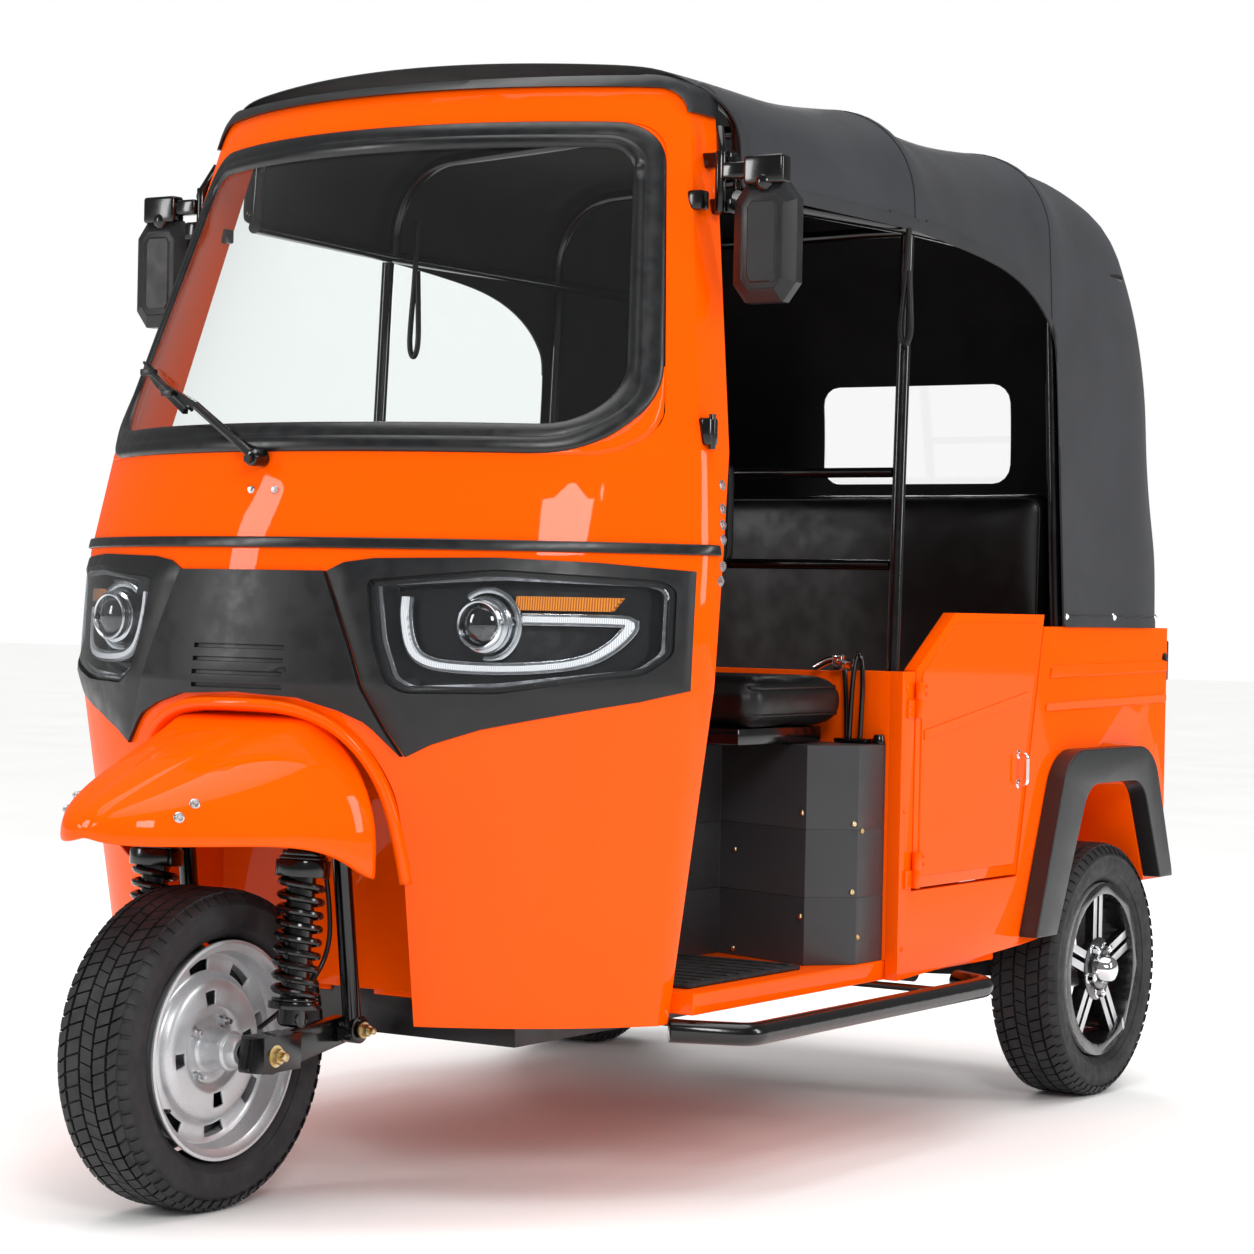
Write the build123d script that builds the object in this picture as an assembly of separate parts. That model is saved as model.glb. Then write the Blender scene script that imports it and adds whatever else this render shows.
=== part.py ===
"""Three-wheeled auto rickshaw: hollow cab, canvas roof, two rear wheels and one steered front wheel.

Millimetres, +Z up, the front faces -Y and the vehicle's own left side is +X. Every piece is drawn with
y = 0 at the front axle and z = 0 at the ground, and is moved by Y_SHIFT when it is written, so that the
origin lies on the ground under the middle of the whole vehicle.
"""
from build123d import *
from math import sqrt, tan, radians, sin, cos, pi
import os

# ---------------------------------------------------------------- overall and wheels
WHEELBASE = 2000.0
TRACK = 1164.0
TYRE_R = 251.0
TYRE_W = 140.0
TREAD_W = 116.0          # flat of the tread between the shoulders
SHOULDER_W = 136.0       # width at the foot of the shoulders
SHOULDER_DROP = 13.0     # tread height over the foot of the shoulders
TYRE_SIDES = 64          # flats round the tyre, about as long as its contact patch
BEAD_IN = 20.0           # from the widest point of the wall in to the bead
SEAT_R = 157.0           # bead seat of the rims
FLANGE_R = 171.0         # outer edge of the rim flange
FLANGE_T = 12.0
RIM_T = 8.0              # thickness of the rim barrel
NOSE_Y = -262.0          # tip of the front fender
TAIL_Y = 2408.0          # rearmost point of canopy and bumper
Y_SHIFT = -(NOSE_Y + TAIL_Y) / 2

CLEAR = 0.3              # gap between pieces that meet on a curved or soft face

# ---------------------------------------------------------------- front cowl
WALL = 20.0              # cowl and pillar wall
SKIN = 25.0              # side panels and doors
COWL_TOP = 1806.0        # top of the header under the canvas
# plan sections of the outer skin: height, half width, y on the centre line, y where the front meets the side
COWL_SECTIONS = [
    # z, half, y_mid, y_edge
    (285.0, 560.0, 150.0, 468.0),
    (824.0, 640.0, 85.0, 445.0),
    (1030.0, 641.0, 112.0, 458.0),
    (1204.0, 610.0, 146.0, 483.0),
    (1778.0, 496.0, 440.0, 615.0),
    (COWL_TOP + 124.0, 466.0, 518.0, 650.0),
]
HEADER_LOW = (562.0, 1500.0)
HEADER_HALF = 489.0
HEADER_R = 52.0
PILLAR_REACH = 722.0     # y where the canvas sides start, behind the A-pillars
# rear edge of the cowl side, seen from the side: y, z
PILLAR_EDGE = [
    (499.0, 285.0), (490.0, 824.0), (508.0, 1030.0), (572.0, 1204.0), (695.0, 1778.0),
    (712.0, COWL_TOP + 54.0),
]
# windscreen aperture, seen from the front: half widths at its bottom and top
SCREEN_LOW = (577.0, 1194.0)
SCREEN_HIGH = (472.0, 1745.0)
SCREEN_R = 62.0
SEAL_W = 31.0
SEAL_PROUD = 7.0
SEAL_DEEP = 16.0
GLASS_T = 5.0
GLASS_IN = 4.0           # glass face under the cowl skin
TRIM_Z = (1036.0, 1053.0)
TRIM_PROUD = 7.0
WIPER_PIVOT_Z = 1179.0
WIPER_ELBOW = (-165.0, 1268.0)
WIPER_BLADE = [(-205.0, 1262.0), (-322.0, 1310.0), (-430.0, 1350.0)]
# wheel arch in the cowl, seen from the front
ARCH_HALF = 270.0
ARCH_TOP = 792.0
ARCH_R = 190.0

# ---------------------------------------------------------------- fascia and lamps, seen from the front (x, z)
FASCIA_T = 10.0
CENTRE_HALF = [
    (146, 1000), (167, 954), (201, 877), (225, 815), (256, 753), (280, 712), (241, 753), (226, 765),
    (186, 782), (119, 800),
]
CENTRE_BOTTOM_Z = 806.0
SURROUND = [
    (149, 1000), (177, 1014), (225, 1021), (405, 1025), (529, 1020), (632, 1010), (632, 822),
    (581, 804), (491, 782), (390, 757), (321, 732), (284, 712), (259, 753), (228, 815), (204, 877),
]
LAMP = [
    (229, 984), (245, 893), (269, 832), (296, 816), (420, 822), (581, 848), (608, 878), (608, 980),
    (590, 991), (408, 998),
]
LAMP_T = 7.0

# ---------------------------------------------------------------- front fender
FENDER_T = 8.0
EDGE_TRIM = 8.0          # strip taken off the lower edge, so that the beak is open below
FENDER_SECTIONS = [
    # y, half width, top z, edge z, corner radius
    (210.0, ARCH_HALF - CLEAR, ARCH_TOP - CLEAR, 500.0, ARCH_R - CLEAR),
    (150.0, ARCH_HALF - CLEAR, ARCH_TOP - CLEAR, 520.0, ARCH_R - CLEAR),
    (80.0, 256.0, 778.0, 566.0, 182.0),
    (-20.0, 205.0, 730.0, 578.0, 130.0),
    (-150.0, 140.0, 674.0, 577.0, 80.0),
    (NOSE_Y, 40.0, 614.0, 586.0, 16.0),
]
HOUSING_T = 12.0
HOUSING_BACK_Y = 385.0
HOUSING_TOP = 808.0
HOUSING_LOW = 310.0

# ---------------------------------------------------------------- steering
RAKE = 24.0              # steering axis, degrees from vertical, top rearward
AXIS_GROUND_Y = -75.0    # where the axis meets the ground
STEM_R = 25.0
HEAD_R = 40.0
HEAD_Z = (650.0, 860.0)
CROWN_Z = 604.0
CROWN_T = 24.0
CROWN_HALF = 176.0
CROWN_FRONT_Y = 58.0
LEG_X = 160.0
LEG_R = 15.0
LEG_TOP_Y = 150.0
PIVOT_Y = 195.0
PIVOT_Z = 273.0
PIVOT_R = 8.0
LINK_X = (118.0, 140.0)
AXLE_R = 12.0
AXLE_HALF = 158.0
SHOCK_X = 150.0
SHOCK_LOW = (54.0, 300.0)     # y, z of the lower eye
SHOCK_R = 30.0
BAR_Z = 1045.0           # height of the handlebar clamp
BAR_HALF = 310.0
BAR_BACK = 62.0
BAR_R = 11.0
GRIP_R = 16.0
CLAMP_H = 27.0
GRIP_L = 115.0

# ---------------------------------------------------------------- floor and chassis
FLOOR_Z = (300.0, 335.0)
FLOOR_HALF = 598.0
FLOOR_END_Y = 1600.0
RAIL_X = 300.0
RAIL_W = 60.0
RAIL_Z = (236.0, FLOOR_Z[0] - CLEAR)
RAIL_END_Y = 2200.0
NECK_Y = (HOUSING_BACK_Y + HOUSING_T + 6.0, 460.0)
NECK_HALF = 45.0
CROSS_Y = (700.0, 1180.0, 1560.0, 1770.0, 2090.0)

# ---------------------------------------------------------------- rear body
SIDE_X = 625.0
BELT_Z = 930.0
FRONT_Y = 1160.0         # front face of the bulkhead and its pillar boxes
REAR_Y = 2335.0
PILLAR_TOP = 847.0
BULKHEAD_T = 25.0
PILLAR_BOX = (532.0, 1208.0)    # inner x and rear y
DOOR_FRONT_Y = 1212.0
DOOR_LOW_Z = 456.0
DOOR_CHAMFER = (1360.0, 953.0)
DOOR_CHAMFER_Z = 850.0
DOOR_REAR_LOW_Y = 1638.0
DOOR_REAR_TOP_Y = 1738.0
DOOR_GAP = 5.0
ARCH = [(1733.0, 318.0), (1878.0, 622.0), (2138.0, 622.0), (2236.0, 412.0)]
ARCH_FILLET = 75.0
# outer edge of the flare: y, z
FLARE = [(1612.0, 330.0), (1790.0, 692.0), (2186.0, 692.0), (2318.0, 420.0)]
FLARE_FILLET = 105.0
FLARE_FOOT = 340.0
FLARE_X = (SIDE_X + CLEAR, 664.0)
HOUSE_X = (468.0, SIDE_X - SKIN - CLEAR)
HOUSE_T = 12.0
HINGE_Y = 1207.0
HINGE_X = SIDE_X + 9.0
HINGE_Z = (494.0, 797.0)
HINGE_R = 7.0
HINGE_H = 64.0
LID_HALF = 430.0
LID_Z = (545.0, 850.0)       # clears the bumper tube as the lid swings up

# ---------------------------------------------------------------- roof
CANVAS = 6.0
# canopy sections: y, half width at the belt, half width at the shoulder, shoulder z, crown z, corner radius
ROOF_SECTIONS = [
    (440.0, 545.0, 492.0, COWL_TOP + 20.0, COWL_TOP + 54.0, 72.0),
    (700.0, 572.0, 524.0, COWL_TOP + 32.0, COWL_TOP + 68.0, 100.0),
    (1200.0, 631.0, 592.0, COWL_TOP + 40.0, COWL_TOP + 74.0, 170.0),
    (2300.0, 631.0, 582.0, COWL_TOP + 32.0, COWL_TOP + 62.0, 170.0),
    (2368.0, 620.0, 566.0, COWL_TOP + 24.0, COWL_TOP + 54.0, 170.0),
    (2420.0, 580.0, 520.0, COWL_TOP + 4.0, COWL_TOP + 34.0, 170.0),
]
# side outline of the canopy: y, z
ROOF_SIDE = [
    (430.0, 900.0), (2338.0, 900.0), (2402.0, 1240.0), (2380.0, 1500.0), (2310.0, 1680.0),
    (2205.0, COWL_TOP + 6.0), (2100.0, COWL_TOP + 62.0), (1900.0, COWL_TOP + 79.0),
    (430.0, COWL_TOP + 89.0),
]
HEM = [(300.0, 1600.0), (780.0, 1632.0), (1250.0, 1640.0), (1600.0, 1614.0), (1795.0, 1570.0)]
PANEL_EDGE_Y = 1815.0
REAR_WINDOW = (230.0, 1235.0, 1450.0)    # half width, low z, high z
BOW_R = 12.0
BOW_Y = (742.0, 1228.0, 1800.0, 2150.0)
FRAME_IN = 2.0           # gap between canvas and tubes
REAR_POST_Y = 1832.0
RAIL_ROOF_Z = 1640.0
VISOR_PROUD = 10.0
VISOR_DEEP = 50.0
VISOR_LOW = COWL_TOP - 41.0       # lower ends of the bead at the roof corners

# ---------------------------------------------------------------- seats
CUSHION_Z = (748.0, 830.0)
CUSHION_X = 548.0
CUSHION_Y = (765.0, 1128.0)
BASE_TOP = 718.0
BASE_HALF = 312.0
BACKREST = (300.0, 1100.0, 1028.0, 1225.0)   # half width, front y, low z, high z
BACKREST_T = 48.0
STAY_X = 200.0
PARTITION_Y = 1190.0
PARTITION_Z = (1036.0, 1202.0)
PARTITION_R = 9.0
BENCH_Y = (1420.0, 1850.0)
BENCH_Z = (620.0, 740.0)
BENCH_HALF = 575.0
BENCH_BACK_Z = (690.0, 1205.0)
BUMPER_R = 20.0
BUMPER_HALF = 590.0
BUMPER_STRAIGHT = 550.0  # half length of the straight stretch
BUMPER_Z = 500.0
BENCH_BACK_T = 95.0


# ================================================================ helpers
def side_prism(points, x0, x1, radius=0.0):
    """Outline in (y, z), drawn out along X."""
    corners = [(x0, y, z) for y, z in points]
    edge = FilletPolyline(*corners, radius=radius, close=True) if radius else Polyline(*corners, close=True)
    return extrude(make_face(edge), amount=x1 - x0, dir=(1, 0, 0))


def front_prism(points, y0, y1, radius=0.0):
    """Outline in (x, z), drawn out along Y."""
    corners = [(x, y0, z) for x, z in points]
    edge = FilletPolyline(*corners, radius=radius, close=True) if radius else Polyline(*corners, close=True)
    return extrude(make_face(edge), amount=y1 - y0, dir=(0, 1, 0))


def plan_prism(points, z0, z1, radius=0.0):
    """Outline in (x, y), drawn up along Z."""
    corners = [(x, y, z0) for x, y in points]
    edge = FilletPolyline(*corners, radius=radius, close=True) if radius else Polyline(*corners, close=True)
    return extrude(make_face(edge), amount=z1 - z0, dir=(0, 0, 1))


def block(x0, x1, y0, y1, z0, z1):
    middle = Pos((x0 + x1) / 2, (y0 + y1) / 2, (z0 + z1) / 2)
    return middle * Box(x1 - x0, y1 - y0, z1 - z0)


def tube(points, radius, bend=0.0):
    """Round bar along straight runs, with bends of one radius between them."""
    path = FilletPolyline(*points, radius=bend) if bend else Polyline(*points)
    return sweep(Plane(origin=path @ 0, z_dir=path % 0) * Circle(radius), path=path)


def bar(start, end, wide, thick):
    """Flat bar between two points."""
    path = Line(start, end)
    return sweep(Plane(origin=start, x_dir=(0, 0, 1), z_dir=path % 0) * Rectangle(wide, thick), path=path)


def rod(x0, x1, y, z, radius):
    """Round bar along X."""
    bar_form = Cylinder(radius, x1 - x0, align=(Align.CENTER, Align.CENTER, Align.MIN))
    return Pos(x0, y, z) * Rot(0, 90, 0) * bar_form


def both(shape):
    """A piece and its twin on the other side of the vehicle."""
    return shape + mirror(shape, about=Plane.YZ)


def twins(shape):
    return {"left": shape, "right": mirror(shape, about=Plane.YZ)}


def cowl_row(z):
    """Cowl section values at a height, straight between the table's rows."""
    rows = COWL_SECTIONS
    for low, high in zip(rows, rows[1:]):
        if z <= high[0]:
            break
    share = (z - low[0]) / (high[0] - low[0])
    return [a + (b - a) * share for a, b in zip(low, high)]


def skin_y(x, z, out=0.0):
    """y of the cowl's front skin at a point seen from the front, moved out of the skin by out."""
    _, half, mid, edge = cowl_row(z)
    rise = edge - mid
    radius = (half ** 2 + rise ** 2) / (2 * rise)
    return mid + radius - sqrt(radius ** 2 - x ** 2) - out


def cowl_form(out, y_back=900.0):
    """Solid inside the cowl's skin, its front and sides moved outwards by out."""
    faces = []
    for z, half, mid, edge in COWL_SECTIONS:
        w = half + out
        arc = ThreePointArc((-w, edge, z), (0, mid - out, z), (w, edge, z))
        back = Polyline((w, edge, z), (w, y_back, z), (-w, y_back, z), (-w, edge, z))
        faces.append(make_face(arc + back))
    return loft(faces, ruled=True)


def cowl_skin(outer, inner):
    """Layer of the cowl between two offsets from its skin."""
    return cowl_form(outer) - cowl_form(inner, 905.0)


def screen_outline(inset):
    """Windscreen outline seen from the front, drawn in by inset."""
    low, high = SCREEN_LOW, SCREEN_HIGH
    return [(-low[0] + inset, low[1] + inset), (low[0] - inset, low[1] + inset),
            (high[0] - inset, high[1] - inset), (-high[0] + inset, high[1] - inset)]


def screen_prism(inset):
    return front_prism(screen_outline(inset), 0.0, 900.0, SCREEN_R - inset / 2)


def arch_prism(grow=0.0, y0=-100.0, y1=900.0):
    """Opening for the front wheel, seen from the front."""
    half, top = ARCH_HALF + grow, ARCH_TOP + grow
    upper = front_prism([(-half, 300.0), (half, 300.0), (half, top), (-half, top)], y0, y1, ARCH_R + grow)
    return upper + block(-half, half, y0, y1, 0.0, 300.0 + ARCH_R + grow)


# ================================================================ wheels
def wheel_polygon(x, flat_r):
    """Many-sided face about the X axis with its flats at flat_r, one of them at the bottom."""
    r = flat_r / cos(pi / TYRE_SIDES)
    turns = [2 * pi * (i + 0.5) / TYRE_SIDES for i in range(TYRE_SIDES)]
    return make_face(Polyline(*[(x, r * cos(a), r * sin(a)) for a in turns], close=True))


def tyre():
    """Tyre about the X axis, at the origin: flat tread, shoulders, walls that draw in to the beads."""
    bead = TYRE_W / 2 - BEAD_IN
    mid_r = (TYRE_R - SHOULDER_DROP + FLANGE_R) / 2
    side = [(TREAD_W / 2, TYRE_R), (SHOULDER_W / 2, TYRE_R - SHOULDER_DROP), (TYRE_W / 2, mid_r)]
    rows = [(-x, r) for x, r in reversed(side)] + side
    solid = loft([wheel_polygon(x, r) for x, r in rows], ruled=True)
    slope = (mid_r - FLANGE_R - CLEAR) / BEAD_IN
    for way in (-1, 1):
        foot = wheel_polygon(way * bead, FLANGE_R + CLEAR)
        solid -= loft([foot, wheel_polygon(way * (bead + 2 * BEAD_IN), FLANGE_R + CLEAR + 2 * BEAD_IN * slope)])
    bore = extrude(wheel_polygon(-TYRE_W, SEAT_R + CLEAR), amount=2 * TYRE_W, dir=(1, 0, 0))
    return solid - bore


def barrel():
    """Rim barrel with its two flanges, about the X axis."""
    inner = TYRE_W / 2 - BEAD_IN + CLEAR
    outer = inner + FLANGE_T
    low = SEAT_R - RIM_T
    profile = Polyline((-outer, 0, low), (outer, 0, low), (outer, 0, FLANGE_R), (inner, 0, FLANGE_R),
                       (inner, 0, SEAT_R), (-inner, 0, SEAT_R), (-inner, 0, FLANGE_R), (-outer, 0, FLANGE_R),
                       close=True)
    return revolve(make_face(profile), axis=Axis.X)


def ring(x0, x1, r_out, r_in):
    """Thick washer about the X axis."""
    solid = rod(x0, x1, 0.0, 0.0, r_out)
    return solid - rod(x0 - 1.0, x1 + 1.0, 0.0, 0.0, r_in) if r_in else solid


FRONT_BORE = AXLE_R + CLEAR
DISC_X = (12.0, 20.0)
SLOT_COUNT = 8
HUB_R = 46.0
DRUM_R = 92.0


def front_rim():
    """Pressed steel wheel with a slotted disc, its hub and brake drum."""
    disc = ring(*DISC_X, SEAT_R - RIM_T + 1.0, HUB_R - 2.0)
    dish = ring(DISC_X[1] - 1.0, DISC_X[1] + 14.0, 112.0, 70.0)
    slot = block(DISC_X[0] - 5.0, DISC_X[1] + 5.0, -22.0, 22.0, 126.0, 140.0)
    for i in range(SLOT_COUNT):
        disc -= Rot(360.0 / SLOT_COUNT * i, 0, 0) * slot
    for i in range(4):
        disc -= Rot(90.0 * i + 45.0, 0, 0) * rod(-80.0, 80.0, 0.0, 92.0, 9.0)
        dish -= Rot(90.0 * i + 45.0, 0, 0) * rod(-80.0, 80.0, 0.0, 92.0, 9.0)
    hub = ring(-60.0, 62.0, HUB_R, 0.0) + ring(62.0, 96.0, 27.0, 0.0)
    drum = ring(-58.0, 0.0, DRUM_R, 0.0)
    solid = barrel() + disc + dish + hub + drum + ring(-2.0, 30.0, 74.0, 0.0)
    return solid - rod(-100.0, 100.0, 0.0, 0.0, FRONT_BORE)


STUB_R = 17.0
STUB_BORE = STUB_R + CLEAR
SPOKES = 5
REAR_HUB_R = 40.0


def rear_rim():
    """Cast wheel with five paired spokes; its face looks to +X."""
    face_x = TYRE_W / 2 - 34.0
    wheel = barrel() + ring(-20.0, face_x + 22.0, REAR_HUB_R, 0.0) + ring(face_x, face_x + 16.0, 62.0, 0.0)
    rim_r = SEAT_R - RIM_T + 2.0
    for i in range(SPOKES):
        for side in (-1, 1):
            arm = block(face_x - 4.0, face_x + 14.0, side * 13.0 - 8.0, side * 13.0 + 8.0, 30.0, rim_r)
            wheel += Rot(360.0 / SPOKES * i, 0, 0) * arm
    wheel += ring(face_x + 22.0, face_x + 36.0, 26.0, 0.0)
    return wheel - rod(-100.0, face_x + 8.0, 0.0, 0.0, STUB_BORE)


# ================================================================ cowl, fascia and glass
def front_cowl():
    """Front skin with both A-pillars, the header and the leg shields."""
    shell = cowl_skin(0.0, -WALL)
    reach = [(-200.0, PILLAR_EDGE[0][1])] + PILLAR_EDGE + [(-200.0, PILLAR_EDGE[-1][1])]
    shell &= side_prism(reach, -800.0, 800.0)
    shell &= header_prism()
    return shell - screen_prism(0.0) - arch_prism()


def windscreen_seal():
    ring_form = screen_prism(CLEAR) - screen_prism(SEAL_W)
    return cowl_skin(SEAL_PROUD, -SEAL_DEEP) & ring_form


def windscreen():
    return cowl_skin(-GLASS_IN, -GLASS_IN - GLASS_T) & screen_prism(SEAL_W + CLEAR)


def front_trim_strip():
    layer = cowl_skin(TRIM_PROUD, CLEAR)
    layer &= block(-800.0, 800.0, -100.0, PILLAR_EDGE[2][0] - 12.0, *TRIM_Z)
    return layer


def centre_fascia():
    half = CENTRE_HALF + [(0.0, CENTRE_BOTTOM_Z)]
    outline = [(x, z) for x, z in half] + [(-x, z) for x, z in reversed(CENTRE_HALF)]
    return cowl_skin(FASCIA_T, CLEAR) & front_prism(outline, -100.0, 600.0)


def lamp_surround():
    layer = cowl_skin(FASCIA_T, CLEAR) & front_prism(SURROUND, -100.0, 462.0)
    return layer - front_prism(LAMP, -100.0, 600.0)


def headlamp():
    layer = cowl_skin(LAMP_T, CLEAR) & front_prism(LAMP, -100.0, 600.0)
    return layer & front_prism(inset_outline(LAMP, 1.0), -100.0, 600.0)


def inset_outline(points, gap):
    """Outline drawn towards its middle by about gap."""
    cx = sum(p[0] for p in points) / len(points)
    cz = sum(p[1] for p in points) / len(points)
    out = []
    for x, z in points:
        reach = sqrt((x - cx) ** 2 + (z - cz) ** 2)
        share = (reach - gap) / reach
        out.append((cx + (x - cx) * share, cz + (z - cz) * share))
    return out


def fender_form(inset, y_shift=0.0):
    """Beak of the front fender: arched sections joined along Y."""
    faces = []
    for row, half, top, edge, corner in FENDER_SECTIONS:
        y, w, t, r = row + y_shift, half - inset, top - inset, corner - inset / 2
        arch = FilletPolyline((-w, y, edge), (-w, y, t), (w, y, t), (w, y, edge), radius=r)
        base = Line((w, y, edge), (-w, y, edge))
        faces.append(make_face(arch + base))
    return loft(faces, ruled=True)


def front_fender():
    inner = fender_form(FENDER_T, FENDER_T)
    under = [(row[0], row[3] + EDGE_TRIM) for row in FENDER_SECTIONS]
    under += [(NOSE_Y - 50.0, under[-1][1]), (NOSE_Y - 50.0, 200.0), (FENDER_SECTIONS[0][0], 200.0)]
    shell = fender_form(0.0) - inner - side_prism(under, -400.0, 400.0)
    return shell - cowl_form(-WALL / 2)


def wheel_housing():
    """Inner panel round the front wheel, with a hole for the steering head."""
    half = ARCH_HALF + CLEAR
    back = HOUSING_BACK_Y
    t = HOUSING_T
    outer = block(-half - t, half + t, 60.0, back + t, HOUSING_LOW, HOUSING_TOP + t)
    inner = block(-half, half, 50.0, back, HOUSING_LOW - 10.0, HOUSING_TOP)
    shell = outer - inner
    shell &= cowl_form(-WALL - CLEAR)
    return shell - steer_rod(HEAD_R + 2.0, 500.0, 1100.0)


def steer_point(z):
    return (0.0, AXIS_GROUND_Y + z * tan(radians(RAKE)), z)


def steer_rod(radius, z0, z1):
    """Round bar along the steering axis between two heights."""
    start, end = steer_point(z0), steer_point(z1)
    return tube([start, end], radius)


# ================================================================ steering assembly
def fork():
    crown_y = steer_point(CROWN_Z)[1]
    low, high = CROWN_Z - CROWN_T / 2, CROWN_Z + CROWN_T / 2
    w, front = CROWN_HALF, CROWN_FRONT_Y
    plate = plan_prism([(-w + 20.0, front), (w - 20.0, front), (w, front + 30.0), (w, LEG_TOP_Y + 25.0),
                        (60.0, crown_y + 42.0), (-60.0, crown_y + 42.0), (-w, LEG_TOP_Y + 25.0),
                        (-w, front + 30.0)], low, high)
    stem = steer_rod(STEM_R, CROWN_Z, BAR_Z - (CLAMP_H / 2 + CLEAR) * cos(radians(RAKE)))
    leg = tube([(LEG_X, LEG_TOP_Y, CROWN_Z), (LEG_X, PIVOT_Y, PIVOT_Z)], LEG_R)
    boss = rod(LEG_X - LEG_R, LEG_X + LEG_R, PIVOT_Y, PIVOT_Z, LEG_R + 7.0)
    hole = rod(LEG_X - 40.0, LEG_X + 40.0, PIVOT_Y, PIVOT_Z, PIVOT_R + CLEAR)
    return plate + stem + both(leg + boss - hole)


def front_links():
    """Leading links with the front axle and their pivot pins."""
    axle = rod(-AXLE_HALF, AXLE_HALF, 0.0, TYRE_R, AXLE_R)
    outline = [(-38.0, 226.0), (20.0, 218.0), (PIVOT_Y + 16.0, 250.0), (PIVOT_Y + 16.0, 292.0), (72.0, 281.0),
               (-30.0, 281.0)]
    arm = side_prism(outline, *LINK_X, radius=8.0)
    cup = block(LINK_X[0], 164.0, -30.0, 60.0, 226.0, 282.0)
    pin = rod(LINK_X[0] + 5.0, LEG_X + LEG_R + 4.0, PIVOT_Y, PIVOT_Z, PIVOT_R)
    return axle + both(arm + cup + pin)


def front_shock():
    low = (SHOCK_X, SHOCK_LOW[0], SHOCK_LOW[1] - 17.0)
    top = (SHOCK_X, SHOCK_LOW[0] + 24.0, CROWN_Z - CROWN_T / 2 - CLEAR)
    path = Line(low, top)
    length = path.length
    frame = Plane(origin=low, z_dir=path % 0)
    body = frame * Cylinder(SHOCK_R * 0.55, length, align=(Align.CENTER, Align.CENTER, Align.MIN))
    coil = frame * Pos(0, 0, 26.0) * Cylinder(SHOCK_R, length * 0.62,
                                              align=(Align.CENTER, Align.CENTER, Align.MIN))
    cut = block(0.0, 400.0, -400.0, 400.0, 0.0, 282.0 + CLEAR) + block(0.0, 400.0, -400.0, 400.0, top[2], 900.0)
    return body + coil - cut


def handlebar():
    _, y, z = steer_point(BAR_Z)
    lean = Plane(origin=(0, y, z), x_dir=(1, 0, 0), z_dir=(0, sin(radians(RAKE)), cos(radians(RAKE))))
    grip_start = BAR_HALF - GRIP_L
    path = [(-BAR_HALF, BAR_BACK, 0.0), (-grip_start, BAR_BACK, 0.0), (-70.0, 0.0, 0.0), (70.0, 0.0, 0.0),
            (grip_start, BAR_BACK, 0.0), (BAR_HALF, BAR_BACK, 0.0)]
    pipe = tube(path, BAR_R, 20.0)
    clamp = Cylinder(STEM_R + 8.0, CLAMP_H)
    grip = Pos(BAR_HALF - GRIP_L / 2, BAR_BACK, 0) * Rot(0, 90, 0) * Cylinder(GRIP_R, GRIP_L)
    pod = Pos(0, 2.0, 24.0) * Box(120.0, 60.0, 30.0)
    return lean * (pipe + clamp + pod + both(grip))


# ================================================================ chassis and floor
def floor_pan():
    front = block(-FLOOR_HALF, FLOOR_HALF, HOUSING_BACK_Y + HOUSING_T + CLEAR, 520.0, *FLOOR_Z)
    front &= cowl_form(-WALL - CLEAR)
    rear = block(-FLOOR_HALF, FLOOR_HALF, 515.0, FLOOR_END_Y, *FLOOR_Z)
    neck = block(-NECK_HALF - 1.0, NECK_HALF + 1.0, 0.0, NECK_Y[1] + 1.0, 200.0, 400.0)
    return front + rear - neck


def underframe():
    """Ladder frame with the neck that carries the steering head."""
    rail = block(RAIL_X - RAIL_W / 2, RAIL_X + RAIL_W / 2, NECK_Y[0], RAIL_END_Y, *RAIL_Z)
    frame = both(rail)
    frame += block(-RAIL_X, RAIL_X, *NECK_Y, *RAIL_Z)
    for y in CROSS_Y:
        frame += block(-RAIL_X, RAIL_X, y - 25.0, y + 25.0, RAIL_Z[0] + 8.0, RAIL_Z[1])
    frame += block(-NECK_HALF, NECK_HALF, *NECK_Y, RAIL_Z[0], HEAD_Z[1])
    frame += block(-NECK_HALF, NECK_HALF, 290.0, NECK_Y[1], HOUSING_TOP + HOUSING_T + 3.0, HEAD_Z[1])
    frame += steer_rod(HEAD_R, *HEAD_Z)
    return frame - steer_rod(STEM_R + CLEAR, 500.0, 1000.0)


def engine_block():
    return block(-230.0, 230.0, 1730.0, 2120.0, RAIL_Z[1] + CLEAR, 600.0)


ARM_X = (380.0, 440.0)
ARM_PIVOT = (1585.0, 300.0)


def rear_arm():
    """Trailing arm with the brake drum and the stub axle that carries a rear wheel."""
    outline = [(ARM_PIVOT[0] - 30.0, 270.0), (ARM_PIVOT[0] + 10.0, 262.0), (WHEELBASE + 40.0, 215.0),
               (WHEELBASE + 40.0, 292.0), (ARM_PIVOT[0] + 10.0, 298.0)]
    arm = side_prism(outline, *ARM_X)
    pivot = rod(RAIL_X + RAIL_W / 2, ARM_X[1], ARM_PIVOT[0], 268.0, 22.0)
    hub = rod(ARM_X[1] - 5.0, 500.0, WHEELBASE, TYRE_R, 75.0)
    stub = rod(495.0, TRACK / 2 + 36.0, WHEELBASE, TYRE_R, STUB_R)
    return arm + pivot + hub + stub


def side_step():
    """Bent foot rail under the doorway with its two brackets."""
    x, z = 662.0, 268.0
    pipe = tube([(560.0, 505.0, 274.0), (x, 590.0, z), (x, 1445.0, z), (575.0, 1500.0, z)], 19.0, 45.0)
    brackets = block(RAIL_X + RAIL_W / 2, x, 690.0, 730.0, 252.0, 260.0)
    brackets += block(RAIL_X + RAIL_W / 2, x, 1400.0, 1440.0, 252.0, 260.0)
    return pipe + brackets


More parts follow.
